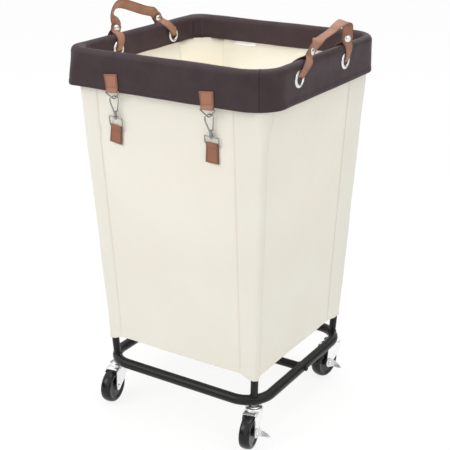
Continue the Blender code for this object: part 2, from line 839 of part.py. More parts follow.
for side, (x_up, z_up, end_up, turn_up, nose_h, x_low, z_low, end_low) in CLIPS.items():
    turn_up = math.radians(turn_up)
    upper = Vector((x_up, CUFF_FACE - UPPER_BAR_OFF, z_up))
    lower = Vector((x_low, -wall_half(z_low) - LOWER_BAR_OFF, z_low))
    along = lower - upper
    tilt = math.atan2(along.y, -along.z)  # lower end leans in towards +Y
    ring_rot = (tilt, turn_up, 0.0)
    c0 = upper + Euler(ring_rot).to_matrix() @ Vector((0.0, 0.0, -(nose_h - 0.0008)))
    hang = lower - c0
    span = hang.length
    swivel_rot = (
        math.asin(hang.y / span),
        math.atan2(-hang.x, -hang.z),
        0.0,
    )
    fold_tab(
        "clip_upper_tab_" + side,
        x_up,
        0.0150,
        0.0132,
        on_cuff,
        z_up,
        UPPER_BAR_OFF,
        end_up,
        turn_up,
    )
    fold_tab(
        "clip_lower_tab_" + side,
        x_low,
        0.0144,
        0.0130,
        on_wall,
        z_low,
        LOWER_BAR_OFF,
        end_low,
        swivel_rot[1],
    )

    # ring: a straight bar in the fold and two legs that meet in a rounded nose
    hinge = empty("clip_ring_axis_" + side, upper, ring_rot)
    pts = []
    w, r = 0.0160, 0.0022
    corner = []
    for i in range(5):
        a = math.radians(90.0 - 130.0 * i / 4.0)
        corner.append((w - r + r * math.cos(a), -r + r * math.sin(a)))
    nose = []
    for i in range(5):
        a = math.radians(-40.0 - 100.0 * i / 4.0)
        nose.append((0.0055 * math.cos(a), -(nose_h - 0.0055) + 0.0055 * math.sin(a)))
    flat = corner + nose
    flat += [(-x, z) for x, z in reversed(corner)]
    bm = bmesh.new()
    wire(
        bm,
        [Vector((x, 0.0, z)) for x, z in flat],
        Vector((0, 1, 0)),
        WIRE_R,
        8,
        True,
    )
    finish("clip_ring_" + side, bm, NICKEL, parent=hinge)

    # everything below hangs from the nose of the ring down to the lower bar
    swivel = empty("clip_swivel_axis_" + side, c0, swivel_rot)
    turned = empty(
        "clip_hook_turn_" + side,
        (0.0, 0.0, 0.0),
        (0.0, 0.0, math.radians(HOOK_TURN)),
        parent=swivel,
    )

    # hook body: barrel with a peened stud below, an arm up the left side that
    # curls over the ring
    arm = [(-0.0022, -0.0235 - LONG), (-0.0054, -0.0150 - LONG * 0.5), (-0.0078, -0.0072)]
    for i in range(7):
        a = math.radians(190.0 - 160.0 * i / 6.0)
        arm.append((0.0084 * math.cos(a), -0.0026 + 0.0072 * math.sin(a)))
    arm.append((0.0080, -0.0014))
    bm = bmesh.new()
    wire(bm, [Vector((x, 0.0, z)) for x, z in arm], Vector((0, 1, 0)), 0.0014, 8, False)
    hook = finish("clip_hook_" + side, bm, NICKEL, parent=turned)
    bm = bmesh.new()
    lathe(
        bm,
        [
            (0.0, -0.0218 - LONG),
            (0.0026, -0.0222 - LONG),
            (0.0033, -0.0236 - LONG),
            (0.0033, -0.0322 - LONG),
            (0.0015, -0.0326 - LONG),
            (0.0015, -0.0385 - LONG),
            (0.0026, -0.0387 - LONG),
            (0.0024, -0.0399 - LONG),
            (0.0, -0.0403 - LONG),
        ],
        12,
        turn=math.radians(15.0),
    )
    boolean(hook, finish("clip_hook_barrel_" + side, bm, None, parent=turned), "UNION")

    # gate: a spring lever from the barrel up to the hook's tip
    gate_axis = empty(
        "clip_gate_axis_" + side, (0.0044, 0.0, -0.0218 - LONG), parent=turned
    )
    bm = bmesh.new()
    gate = [(0.0, 0.0), (0.0014, 0.0090), (0.0031, 0.0200), (0.0037, 0.0182 + LONG)]
    wire(
        bm,
        [Vector((x, 0.0, z)) for x, z in gate],
        Vector((0, 1, 0)),
        0.0010,
        8,
        False,
    )
    finish("clip_gate_" + side, bm, NICKEL, parent=gate_axis)

    # eye: a rectangular wire loop with a boss that the stud turns in
    low_z = -span
    top_z = -0.0356 - LONG
    w, r = 0.0157, 0.0022
    pts = []
    for cx, cz, a0 in (
        (w - r, top_z - r, 90.0),
        (w - r, low_z + r, 0.0),
        (-(w - r), low_z + r, -90.0),
        (-(w - r), top_z - r, -180.0),
    ):
        for i in range(4):
            a = math.radians(a0 - 90.0 * i / 3.0)
            pts.append(Vector((cx + r * math.cos(a), 0.0, cz + r * math.sin(a))))
    bm = bmesh.new()
    wire(bm, pts, Vector((0, 1, 0)), WIRE_R, 8, True)
    eye = finish("clip_eye_" + side, bm, NICKEL, parent=swivel)
    bm = bmesh.new()
    lathe(
        bm,
        [
            (0.0001, -0.0330 - LONG),
            (0.0036, -0.0330 - LONG),
            (0.0036, -0.0382 - LONG),
            (0.0001, -0.0382 - LONG),
        ],
        12,
        closed=True,
        turn=math.radians(15.0),
    )
    boolean(eye, finish("clip_eye_boss_" + side, bm, None, parent=swivel), "UNION")
    boolean(
        eye,
        rod_cutter(
            "clip_eye_bore_" + side,
            (0.0, 0.0, -0.0300 - LONG),
            (0.0, 0.0, -0.0410 - LONG),
            0.0018,
            12,
            parent=swivel,
        ),
    )

# ------------------------------------------------------------------- casters
LEG = (
    # one side of the fork: distance from the swivel axis towards the wheel, z
    (0.0300, 0.0788),
    (0.0330, 0.0700),
    (0.0345, 0.0520),
    (0.0348, 0.0370),
    (0.0325, 0.0308),
    (0.0270, 0.0280),
    (0.0208, 0.0300),
    (0.0080, 0.0375),
    (-0.0040, 0.0465),
    (-0.0120, 0.0550),
    (-0.0155, 0.0650),
    (-0.0155, 0.0788),
)
LEG_IN, LEG_OUT = 0.0140, 0.0158
CROWN_LOW = 0.0768

WHEEL = (
    # radius, distance from the wheel's middle plane
    (0.0034, 0.0128),
    (0.0090, 0.0128),
    (0.0105, 0.0104),
    (0.0250, 0.0098),
    (0.0290, 0.0116),
    (0.0335, 0.0116),
    (0.0360, 0.0090),
    (WHEEL_R, 0.0),
)

for name, (sx, sy, heading, brake) in CASTERS.items():
    place = PLACES[name]
    # the swivel frame: X points from the swivel axis to the wheel
    swivel = empty(
        "caster_swivel_axis_" + name,
        (place.x, place.y, 0.0),
        (0.0, 0.0, math.radians(heading)),
    )

    bm = bmesh.new()
    lathe(
        bm,
        [
            (0.0, 0.1035),
            (0.0048, 0.1035),
            (0.0048, 0.0857),
            (0.0088, 0.0857),
            (0.0088, 0.0823),
            (0.0160, 0.0815),
            (0.0182, 0.0802),
            (0.0182, 0.0792),
            (0.0062, 0.0792),
            (0.0062, 0.0765),
            (0.0080, 0.0765),
            (0.0080, 0.0750),
            (0.0, 0.0750),
        ],
        14,
        origin=(place.x, place.y, 0.0),
    )
    finish("caster_stem_" + name, bm, ZINC)

    bm = bmesh.new()
    prism(bm, LEG, "Y", -LEG_OUT, LEG_OUT)
    fork = finish("caster_fork_" + name, bm, ZINC, parent=swivel, flat=True)
    bm = bmesh.new()
    block(bm, (-0.030, -LEG_IN, 0.010), (0.050, LEG_IN, CROWN_LOW))
    boolean(fork, finish("caster_fork_inside_" + name, bm, None, parent=swivel))
    boolean(
        fork,
        rod_cutter(
            "caster_fork_stem_hole_" + name,
            (0.0, 0.0, 0.070),
            (0.0, 0.0, 0.085),
            0.0067,
            14,
            parent=swivel,
        ),
    )
    boolean(
        fork,
        rod_cutter(
            "caster_fork_axle_hole_" + name,
            (TRAIL, -0.020, WHEEL_R),
            (TRAIL, 0.020, WHEEL_R),
            AXLE_R + 0.0004,
            12,
            parent=swivel,
        ),
    )

    wheel_axis = empty(
        "caster_wheel_axis_" + name, (TRAIL, 0.0, WHEEL_R), parent=swivel
    )
    head = LEG_OUT + GAP + (0.0018 if brake else 0.0)
    bm = bmesh.new()
    lathe(
        bm,
        [
            (0.0, head + 0.0024),
            (0.0036, head + 0.0022),
            (0.0054, head + 0.0010),
            (0.0054, head),
            (AXLE_R, head),
            (AXLE_R, -LEG_OUT - GAP),
            (0.0054, -LEG_OUT - GAP),
            (0.0054, -LEG_OUT - 0.0030),
            (0.0, -LEG_OUT - 0.0032),
        ],
        12,
        axis="Y",
    )
    finish("caster_axle_" + name, bm, ZINC, parent=wheel_axis)

    bm = bmesh.new()
    lathe(
        bm,
        list(WHEEL) + [(r, -h) for r, h in reversed(WHEEL[:-1])],
        20,
        axis="Y",
        closed=True,
        turn=math.radians(-90.0),
    )
    finish("caster_wheel_" + name, bm, RUBBER, parent=wheel_axis)

    if brake:
        # side lock: a stamped plate on the axle with a tongue bent outwards
        plate = LEG_OUT + GAP + 0.00075
        strip = (
            # towards the wheel, outwards, middle height, half height
            (0.0420, plate, 0.0385, 0.0065),
            (0.0375, plate, 0.0375, 0.0130),
            (0.0270, plate, 0.0365, 0.0175),
            (0.0185, plate, 0.0325, 0.0150),
            (0.0155, plate + 0.0022, 0.0300, 0.0125),
            (0.0160, plate + 0.0080, 0.0300, 0.0095),
            (0.0180, plate + 0.0170, 0.0305, 0.0055),
            (0.0205, plate + 0.0255, 0.0310, 0.0022),
        )
        bm = bmesh.new()
        stations = []
        for i, (t, s_out, zc, hz) in enumerate(strip):
            a, b = strip[max(i - 1, 0)], strip[min(i + 1, len(strip) - 1)]
            d = Vector((b[0] - a[0], b[1] - a[1], 0.0)).normalized()
            n = Vector((-d.y, d.x, 0.0)) * 0.00075
            c = Vector((t - TRAIL, s_out, zc - WHEEL_R))
            up = Vector((0.0, 0.0, hz))
            stations.append([c - n - up, c + n - up, c + n + up, c - n + up])
        sweep(bm, stations)
        lever = finish("brake_lever_" + name, bm, ZINC, parent=wheel_axis)
        boolean(
            lever,
            rod_cutter(
                "brake_lever_hole_" + name,
                (0.0, LEG_OUT - 0.003, 0.0),
                (0.0, LEG_OUT + 0.006, 0.0),
                AXLE_R + 0.0004,
                12,
                parent=wheel_axis,
            ),
        )
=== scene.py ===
"""Canvas laundry cart: a cloth bag in a tubular frame on four casters.

Metres, +Z up.  -Y is the front, with the two clips; the handles are on the
left (-X) and right (+X) sides.  The casters stand on Z = 0.
"""

import json
import math

import bpy
import numpy as np
from mathutils import Euler, Matrix, Vector, noise


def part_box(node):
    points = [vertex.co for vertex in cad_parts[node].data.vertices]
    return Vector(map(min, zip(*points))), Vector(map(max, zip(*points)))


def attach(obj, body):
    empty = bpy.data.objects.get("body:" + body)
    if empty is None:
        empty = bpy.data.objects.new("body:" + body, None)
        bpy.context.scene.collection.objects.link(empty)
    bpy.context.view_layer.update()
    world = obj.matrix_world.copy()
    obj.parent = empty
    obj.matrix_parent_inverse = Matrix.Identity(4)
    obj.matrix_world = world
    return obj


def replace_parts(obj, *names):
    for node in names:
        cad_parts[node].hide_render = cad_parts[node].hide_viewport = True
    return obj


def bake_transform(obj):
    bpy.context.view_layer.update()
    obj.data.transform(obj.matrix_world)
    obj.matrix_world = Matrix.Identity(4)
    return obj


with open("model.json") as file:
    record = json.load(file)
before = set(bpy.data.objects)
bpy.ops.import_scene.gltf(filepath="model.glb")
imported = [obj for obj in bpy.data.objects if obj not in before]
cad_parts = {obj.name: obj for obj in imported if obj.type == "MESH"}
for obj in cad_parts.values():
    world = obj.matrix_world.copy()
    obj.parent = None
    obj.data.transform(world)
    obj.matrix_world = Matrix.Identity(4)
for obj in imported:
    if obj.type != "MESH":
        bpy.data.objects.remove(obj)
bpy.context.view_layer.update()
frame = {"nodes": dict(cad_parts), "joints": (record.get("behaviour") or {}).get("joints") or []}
JOINT = {joint["name"]: joint for joint in frame["joints"]}
ROOT = "frame_and_bag"


# =====================================================================
# numbers and vectors
# =====================================================================
def vec(*values):
    return np.array(values, float)


UP = vec(0, 0, 1)


def unit(vectors):
    vectors = np.asarray(vectors, float)
    return vectors / np.maximum(np.linalg.norm(vectors, axis=-1, keepdims=True), 1e-12)


def square_to(vectors, axes):
    """Unit vectors: the given ones with their part along the unit axes taken out."""
    return unit(vectors - axes * np.sum(vectors * axes, axis=-1, keepdims=True))


def smooth(value, start, end):
    """Eased step from 0 at start to 1 at end."""
    t = min(max((value - start) / (end - start), 0.0), 1.0)
    return float(t * t * (3 - 2 * t))


def bell(offset, width):
    return math.exp(-((offset / width) ** 2))


def ripple(x, y, z):
    """Smooth noise, about -1 to 1."""
    return noise.noise(Vector((x, y, z)))


def arc_length(points):
    """Distance along the points, starting at 0."""
    steps = np.linalg.norm(np.diff(points, axis=0), axis=1)
    return np.concatenate([[0], np.cumsum(steps)])


def interp_rows(stations, arc, table):
    """Rows of a table, at stations along the arc."""
    return np.stack([np.interp(stations, arc, column) for column in table.T], -1)


def moved(matrix, points):
    return np.asarray(points, float) @ matrix[:3, :3].T + matrix[:3, 3]


def frame_on(origin, z, side=UP):
    """Matrix whose Z is the given direction and whose X leans to side."""
    z = unit(z)
    if abs(np.dot(side, z)) > 0.97:
        side = vec(1, 0, 0)
    x = square_to(side, z)
    matrix = np.eye(4)
    matrix[:3, 0], matrix[:3, 1] = x, np.cross(z, x)
    matrix[:3, 2], matrix[:3, 3] = z, origin
    return matrix


# =====================================================================
# curves and outlines
# =====================================================================
def resample(points, step=None, count=None, closed=False, extra=None):
    """Catmull-Rom through the points, then evenly spaced by step or count.
    Rows of extra values are carried along an open curve."""
    points = np.asarray(points, float)
    total = len(points)
    fine = 24
    dense, carried = [], []
    for i in range(total if closed else total - 1):
        if closed:
            near = [(i + k) % total for k in (-1, 0, 1, 2)]
        else:
            near = [max(i - 1, 0), i, i + 1, min(i + 2, total - 1)]
        before, here, after, beyond = points[near]
        for k in range(fine):
            t = k / fine
            dense.append(
                0.5
                * (
                    2 * here
                    + (after - before) * t
                    + (2 * before - 5 * here + 4 * after - beyond) * t * t
                    + (3 * here - before - 3 * after + beyond) * t**3
                )
            )
            if extra is not None:
                carried.append(extra[i] * (1 - t) + extra[i + 1] * t)
    dense.append(points[0] if closed else points[-1])
    dense = np.array(dense)
    arc = arc_length(dense)
    if count is None:
        count = max(4, int(round(arc[-1] / step)) + 1)
    stations = np.linspace(0, arc[-1], count)
    if closed:
        stations = stations[:-1]
    curve = interp_rows(stations, arc, dense)
    if extra is None:
        return curve
    carried.append(extra[-1])
    return curve, interp_rows(stations, arc, np.array(carried))


def fillet(profile, radius, steps=3, closed=False):
    """Round the corners of a profile."""
    corners = [vec(*point) for point in profile]
    rounded = []
    for i, corner in enumerate(corners):
        if not closed and i in (0, len(corners) - 1):
            rounded.append(corner)
            continue
        back = corners[i - 1] - corner
        ahead = corners[(i + 1) % len(corners)] - corner
        back_len, ahead_len = np.linalg.norm(back), np.linalg.norm(ahead)
        cut = min(radius, 0.45 * back_len, 0.45 * ahead_len)
        if cut < 1e-6:
            rounded.append(corner)
            continue
        start = corner + back / back_len * cut
        end = corner + ahead / ahead_len * cut
        for k in range(steps + 1):
            t = k / steps
            rounded.append(start * (1 - t) ** 2 + corner * 2 * t * (1 - t) + end * t * t)
    return rounded


def arc_points(x, z, radius, start, sweep, steps):
    """Points on an arc about (x, z), angles in degrees."""
    angles = [math.radians(start + sweep * i / steps) for i in range(steps + 1)]
    return [(x + radius * math.cos(a), z + radius * math.sin(a)) for a in angles]


# =====================================================================
# meshes
# =====================================================================
def make(name, verts, faces, mat, slot, uvs=None, attrs=None, angle=None):
    """A named mesh.  uvs: one (u, v) for each face corner; attrs: name to one
    value for each vertex; angle: degrees above which edges are sharp."""
    mesh = bpy.data.meshes.new(name)
    verts = [tuple(vert) for vert in np.asarray(verts, float)]
    mesh.from_pydata(verts, [], [tuple(face) for face in faces])
    if uvs is not None:
        layer = mesh.uv_layers.new(name="UVMap")
        flat = np.array([corner for face in uvs for corner in face], np.float32)
        layer.data.foreach_set("uv", flat.ravel())
    for key, values in (attrs or {}).items():
        attribute = mesh.attributes.new(key, "FLOAT", "POINT")
        attribute.data.foreach_set("value", np.asarray(values, np.float32).ravel())
    mesh.validate()
    mesh.shade_smooth()
    if angle is not None:
        mesh.set_sharp_from_angle(angle=math.radians(angle))
    mesh.materials.append(mat)
    thing = bpy.data.objects.new(name, mesh)
    bpy.context.scene.collection.objects.link(thing)
    return thing


def grid_faces(rows, cols, wrap_cols=False, wrap_rows=False, base=0, flip=False):
    faces = []
    for i in range(rows if wrap_rows else rows - 1):
        i2 = (i + 1) % rows
        for j in range(cols if wrap_cols else cols - 1):
            j2 = (j + 1) % cols
            quad = ((i, j), (i, j2), (i2, j2), (i2, j))
            face = tuple(base + row * cols + col for row, col in quad)
            faces.append(face[::-1] if flip else face)
    return faces


def grid_uvs(uv, flip=False):
    """UVs of each face of a grid; uv has one more column where the grid wraps."""
    faces = []
    for i in range(uv.shape[0] - 1):
        for j in range(uv.shape[1] - 1):
            face = [uv[i, j], uv[i, j + 1], uv[i + 1, j + 1], uv[i + 1, j]]
            faces.append(face[::-1] if flip else face)
    return faces


def grid_normals(grid, wrap=False):
    """Normals of a grid of points: along the columns x along the rows."""
    if wrap:
        across = np.roll(grid, -1, 1) - np.roll(grid, 1, 1)
    else:
        across = np.gradient(grid, axis=1)
    return unit(np.cross(across, np.gradient(grid, axis=0)))


def facing(grid, row, way):
    """The grid, turned over if its normal amid a row points against way."""
    normal = grid_normals(grid)[row, grid.shape[1] // 2]
    return grid[:, ::-1] if np.dot(normal, way) < 0 else grid


def sheet(name, outer, thick, mat, slot, uv=None, wrap=False, attrs=None, angle=None):
    """A closed sheet: outer is the grid of its outer face (rows, columns, 3),
    its normals pointing out; the inner face lies thick behind it."""
    rows, cols = outer.shape[:2]
    inner = outer - grid_normals(outer, wrap) * thick
    verts = np.concatenate([outer.reshape(-1, 3), inner.reshape(-1, 3)])
    count = rows * cols
    faces = grid_faces(rows, cols, wrap)
    faces += grid_faces(rows, cols, wrap, base=count, flip=True)
    if uv is None:
        uv = np.zeros((rows, cols, 2))
        uv[:, 1:, 0] = np.cumsum(np.linalg.norm(np.diff(outer, axis=1), axis=2), 1)
        uv[1:, :, 1] = np.cumsum(np.linalg.norm(np.diff(outer, axis=0), axis=2), 0)
    uvs = grid_uvs(uv) + grid_uvs(uv, flip=True)

    def close_edge(indices, flip):
        following = indices[1:] + (indices[:1] if wrap else [])
        for here, there in zip(indices, following):
            face = (here, here + count, there + count, there)
            faces.append(face[::-1] if flip else face)
            uvs.append([uv[divmod(here, cols)]] * 4)

    close_edge(list(range(cols)), False)
    close_edge([(rows - 1) * cols + j for j in range(cols)], True)
    if not wrap:
        close_edge([i * cols for i in range(rows)], True)
        close_edge([i * cols + cols - 1 for i in range(rows)], False)
    both = {key: np.tile(np.ravel(values), 2) for key, values in (attrs or {}).items()}
    return make(name, verts, faces, mat, slot, uvs, both, angle)


def frames_along(points, closed, start):
    """Two cross directions at each point that turn as little as possible, and
    the tangent at each end."""
    total = len(points)
    if closed:
        tangents = unit(np.roll(points, -1, 0) - np.roll(points, 1, 0))
    else:
        tangents = unit(np.gradient(points, axis=0))
    if abs(np.dot(start, tangents[0])) > 0.95:
        start = vec(1, 0, 0)
    first = [square_to(start, tangents[0])]
    for tangent in tangents[1:]:
        first.append(square_to(first[-1], tangent))
    first = np.array(first)
    if closed:
        # spread the closing turn along the loop
        back = square_to(first[-1], tangents[0])
        second = np.cross(tangents[0], first[0])
        twist = math.atan2(np.dot(back, second), np.dot(back, first[0]))
        for i in range(total):
            turn = -twist * i / total
            second = np.cross(tangents[i], first[i])
            first[i] = first[i] * math.cos(turn) + second * math.sin(turn)
    return first, np.cross(tangents, first), tangents[0], tangents[-1]


def pipe_data(points, radius, seg, closed=False, start=UP):
    """Verts and faces of a round bar along points; open ends are domed.
    radius: one value, or one for each point."""
    points = np.asarray(points, float)
    first, second, tan_start, tan_end = frames_along(points, closed, start)
    radii = np.broadcast_to(radius, (len(points),)).astype(float)
    if not closed:
        dome = np.array([0.30, 0.62, 0.86])
        shrink = np.sqrt(1 - dome**2)
        head = points[0] - tan_start * (radii[0] * 0.5 * dome[::-1])[:, None]
        tail = points[-1] + tan_end * (radii[-1] * 0.5 * dome)[:, None]
        points = np.concatenate([head, points, tail])
        radii = np.concatenate([radii[0] * shrink[::-1], radii, radii[-1] * shrink])
        first = np.concatenate([[first[0]] * 3, first, [first[-1]] * 3])
        second = np.concatenate([[second[0]] * 3, second, [second[-1]] * 3])
    turn = (np.arange(seg) * math.tau / seg)[None, :, None]
    circle = first[:, None] * np.cos(turn) + second[:, None] * np.sin(turn)
    verts = (points[:, None] + circle * radii[:, None, None]).reshape(-1, 3)
    faces = grid_faces(len(points), seg, wrap_cols=True, wrap_rows=closed)
    if not closed:
        faces.append(tuple(range(seg))[::-1])
        faces.append(tuple(range(len(verts) - seg, len(verts))))
    return verts, faces


def pipe(name, points, radius, mat, seg, slot, closed=False, start=UP):
    return make(name, *pipe_data(points, radius, seg, closed, start), mat, slot, angle=50)


def merge(parts):
    verts, faces, count = [], [], 0
    for part_verts, part_faces in parts:
        verts.append(np.asarray(part_verts, float))
        faces += [tuple(i + count for i in face) for face in part_faces]
        count += len(part_verts)
    return np.concatenate(verts), faces


def lathe_data(profile, seg, matrix, closed=False):
    """Profile of (radius, height), turned about local Z and placed."""
    rows, verts = [], []
    for radius, height in profile:
        radius = max(radius, 0.0)
        if radius < 1e-7:
            rows.append([len(verts)] * seg)
            verts.append((0, 0, height))
        else:
            rows.append(list(range(len(verts), len(verts) + seg)))
            for k in range(seg):
                turn = math.tau * k / seg
                verts.append((radius * math.cos(turn), radius * math.sin(turn), height))
    pairs = list(zip(rows, rows[1:]))
    if closed:
        pairs.append((rows[-1], rows[0]))
    faces = []
    for low, high in pairs:
        for k in range(seg):
            k2 = (k + 1) % seg
            # corners on the axis fall together
            face = tuple(dict.fromkeys((low[k], low[k2], high[k2], high[k])))
            if len(face) > 2:
                faces.append(face)
    return moved(matrix, verts), faces


def outward(verts, faces):
    """Flip the faces if the closed body is inside out."""
    volume = 0.0
    for face in faces:
        first = verts[face[0]]
        for i in range(1, len(face) - 1):
            volume += np.dot(first, np.cross(verts[face[i]], verts[face[i + 1]]))
    return (verts, [face[::-1] for face in faces]) if volume < 0 else (verts, faces)


def lathe(name, profile, mat, matrix, seg, slot, closed=False, angle=45):
    body = outward(*lathe_data(profile, seg, matrix, closed))
    return make(name, *body, mat, slot, angle=angle)


def ribbon(name, points, widths, half, thick, mat, cup=0.0, cols=13):
    """A strap along points with the given width directions and rounded edges.
    cup: how far its middle stands off the line."""
    total = len(points)
    tangents = unit(np.gradient(points, axis=0))
    widths = square_to(widths, tangents)
    normals = unit(np.cross(tangents, widths))
    # section: (across, up) in shares of the half width and half thickness
    section = []
    for i in range(cols):
        across = math.cos(math.pi * i / (cols - 1))
        section.append((across, math.sqrt(max(0.0, 1 - abs(across) ** 9))))
    section = np.array(section + [(x, -z) for x, z in reversed(section[1:-1])])
    around = len(section)
    grid = np.zeros((total, around, 3))
    for j, (across, rise) in enumerate(section):
        lift = thick / 2 * rise + cup * (1 - across * across)
        lift = np.broadcast_to(lift, (total,))
        grid[:, j] = points + widths * (half * across)[:, None] + normals * lift[:, None]
    uv = np.zeros((total, around + 1, 2))
    uv[:, :around, 0] = section[None, :, 0] * half[:, None]
    uv[:, around, 0] = uv[:, 0, 0]
    uv[:, :, 1] = arc_length(points)[:, None]
    edge = np.repeat((np.abs(section[:, 0]) ** 6)[None, :], total, 0)
    edge[0] = edge[-1] = 1.0
    verts = grid.reshape(-1, 3)
    faces = grid_faces(total, around, wrap_cols=True)
    uvs = grid_uvs(uv)
    faces.append(tuple(range(around))[::-1])
    uvs.append([uv[0, j] for j in range(around)][::-1])
    faces.append(tuple(range((total - 1) * around, total * around)))
    uvs.append([uv[-1, j] for j in range(around)])
    # the first two rows of faces tell whether the strap is inside out
    outness = 0.0
    for face in faces[: around * 2]:
        corner = verts[face[0]]
        normal = np.cross(verts[face[1]] - corner, verts[face[2]] - corner)
        outness += np.dot(normal, verts[list(face)].mean(0) - points[face[0] // around])
    if outness < 0:
        faces = [face[::-1] for face in faces]
        uvs = [face[::-1] for face in uvs]
    return make(name, verts, faces, mat, "strap", uvs, {"edge": edge}, 60)


def stitches(name, paths, mat, slot, pitch, length, radius):
    """Thread stitches along paths: a list of (points, normals)."""
    # (radius, height) of one stitch, in shares of its size
    profile = [(0.0, -0.5), (0.55, -0.46), (0.9, -0.3), (1.0, 0.0)]
    profile += [(r, -h) for r, h in reversed(profile[:-1])]
    parts = []
    for points, normals in paths:
        points = np.asarray(points, float)
        arc = arc_length(points)
        normals = np.broadcast_to(normals, points.shape)
        station = pitch / 2
        while station < arc[-1]:
            centre = interp_rows(station, arc, points)
            ahead = interp_rows(min(station + 1e-4, arc[-1]), arc, points)
            behind = interp_rows(max(station - 1e-4, 0), arc, points)
            normal = unit(interp_rows(station, arc, normals))
            matrix = frame_on(centre, ahead - behind, normal)
            matrix[:3, :3] *= (radius, radius, length)
            parts.append(lathe_data(profile, 6, matrix))
            station += pitch
    return make(name, *merge(parts), mat, slot)


# =====================================================================
# materials
# =====================================================================
class Shader:
    """Adds and joins nodes in the tree of a material or a world."""

    def __init__(self, owner):
        owner.use_nodes = True
        self.owner = owner
        self.tree = owner.node_tree

    def put(self, node, key, value):
        """Link a socket to an input, or give the input a value."""
        if isinstance(value, bpy.types.NodeSocket):
            self.tree.links.new(value, node.inputs[key])
        else:
            node.inputs[key].default_value = value

    def add(self, kind, inputs=None, **settings):
        node = self.tree.nodes.new("ShaderNode" + kind)
        for key, value in settings.items():
            setattr(node, key, value)
        for key, value in (inputs or {}).items():
            self.put(node, key, value)
        return node

    def surface(self, inputs):
        """Set the main shader's inputs; gives the material."""
        for key, value in inputs.items():
            self.put(self.tree.nodes["Principled BSDF"], key, value)
        return self.owner

    def blend_surface(self, factor, shader):
        """Mix the main shader with another on the way to the output."""
        main = self.tree.nodes["Principled BSDF"].outputs[0]
        both = self.add("MixShader", {0: factor, 1: main, 2: shader})
        self.put(self.tree.nodes["Material Output"], 0, both.outputs[0])

    def coords(self, kind="Object"):
        return self.add("TexCoord").outputs[kind]

    def noise(self, coords, scale, detail=3.0, rough=0.55):
        inputs = {"Vector": coords, "Scale": scale, "Detail": detail, "Roughness": rough}
        return self.add("TexNoise", inputs).outputs["Fac"]

    def stretched_noise(self, coords, scales, detail=2.0):
        stretch = self.add("Mapping", {"Vector": coords, "Scale": scales})
        return self.noise(stretch.outputs["Vector"], scale=1.0, detail=detail)

    def voronoi(self, coords, scale, feature):
        inputs = {"Vector": coords, "Scale": scale}
        return self.add("TexVoronoi", inputs, feature=feature).outputs["Distance"]

    def calc(self, operation, first, second=0.0, third=None):
        inputs = {0: first, 1: second}
        if third is not None:
            inputs[2] = third
        return self.add("Math", inputs, operation=operation).outputs[0]

    def ramp(self, value, span, to=(0.0, 1.0)):
        """Map a span of values to another, clamped."""
        inputs = {"Value": value, "From Min": span[0], "From Max": span[1]}
        inputs.update({"To Min": to[0], "To Max": to[1]})
        return self.add("MapRange", inputs).outputs["Result"]

    def mix(self, factor, first, second):
        """Mix of two colours, each a socket or (r, g, b)."""
        inputs = {0: factor}
        for key, colour in ((6, first), (7, second)):
            is_socket = isinstance(colour, bpy.types.NodeSocket)
            inputs[key] = colour if is_socket else (*colour, 1.0)
        return self.add("Mix", inputs, data_type="RGBA").outputs[2]

    def bump(self, height, strength, distance, normal=None):
        inputs = {"Height": height, "Strength": strength, "Distance": distance}
        if normal is not None:
            inputs["Normal"] = normal
        return self.add("Bump", inputs).outputs["Normal"]

    def attr(self, name):
        return self.add("Attribute", attribute_name=name).outputs["Fac"]


def new_shader(name):
    return Shader(bpy.data.materials.new(name))


def weave(shader, uv, pitch):
    """Height of a plain weave, in 0 to 1, on UVs in metres."""
    calc = shader.calc
    axes = shader.add("SeparateXYZ", {0: uv}).outputs[:2]
    step = math.pi / pitch
    across, along = [
        calc("ABSOLUTE", calc("SINE", calc("MULTIPLY", axis, step))) for axis in axes
    ]
    shifted = [calc("SINE", calc("MULTIPLY_ADD", axis, step, math.pi / 2)) for axis in axes]
    over = calc("GREATER_THAN", calc("MULTIPLY", *shifted), 0.0)
    # each thread rounds across its width and dips a little along its length
    first = calc("MULTIPLY", across, calc("MULTIPLY_ADD", along, 0.45, 0.55))
    second = calc("MULTIPLY", along, calc("MULTIPLY_ADD", across, 0.45, 0.55))
    return shader.add("Mix", {0: over, 2: first, 3: second}, data_type="FLOAT").outputs[0]


def canvas_material(name, colour, dark, through):
    """Plain-woven canvas; through is the share of light that comes through."""
    shader = new_shader(name)
    seam_thread_and_shade_tint = (0.80, 0.66, 0.56)
    uv = shader.coords("UV")
    coords = shader.coords()
    threads = weave(shader, uv, pitch=0.00085)
    slubs = shader.calc(
        "ADD",
        shader.stretched_noise(uv, scales=(55.0, 900.0, 1.0), detail=3.0),
        shader.stretched_noise(uv, scales=(900.0, 55.0, 1.0), detail=3.0),
    )
    broad = shader.noise(coords, scale=5.5, detail=4.0)
    yellowed = np.multiply(colour, (0.975, 0.965, 0.945))
    tint = shader.mix(shader.ramp(broad, span=(0.35, 0.65)), colour, yellowed)
    slub_share = shader.ramp(slubs, span=(0.80, 1.25), to=(0.0, 0.30))
    tint = shader.mix(slub_share, tint, np.multiply(colour, 0.90))
    tint = shader.mix(shader.ramp(threads, span=(0.25, 0.95), to=(0.16, 0.0)), tint, dark)
    # Along the seams and the hem the canvas is tinted pinkish tan: partly the thread's colour, partly
    # painted shade in the seam's groove.
    tint = shader.mix(shader.calc("MULTIPLY", shader.attr("seam"), 0.80), tint, seam_thread_and_shade_tint)
    soft = shader.noise(coords, scale=26.0)
    normal = shader.bump(soft, strength=0.10, distance=0.0022)
    normal = shader.bump(slubs, strength=0.25, distance=0.00022, normal=normal)
    normal = shader.bump(threads, strength=0.45, distance=0.00022, normal=normal)
    shader.surface({
        "Base Color": tint,
        "Roughness": shader.ramp(threads, span=(0.2, 1.0), to=(0.96, 0.84)),
        "Specular IOR Level": 0.22,
        "Sheen Weight": 0.12,
        "Sheen Roughness": 0.5,
        "Normal": normal,
    })
    lit_through = shader.add("BsdfTranslucent", {"Color": tint})
    shader.blend_surface(through, lit_through.outputs[0])
    return shader.owner


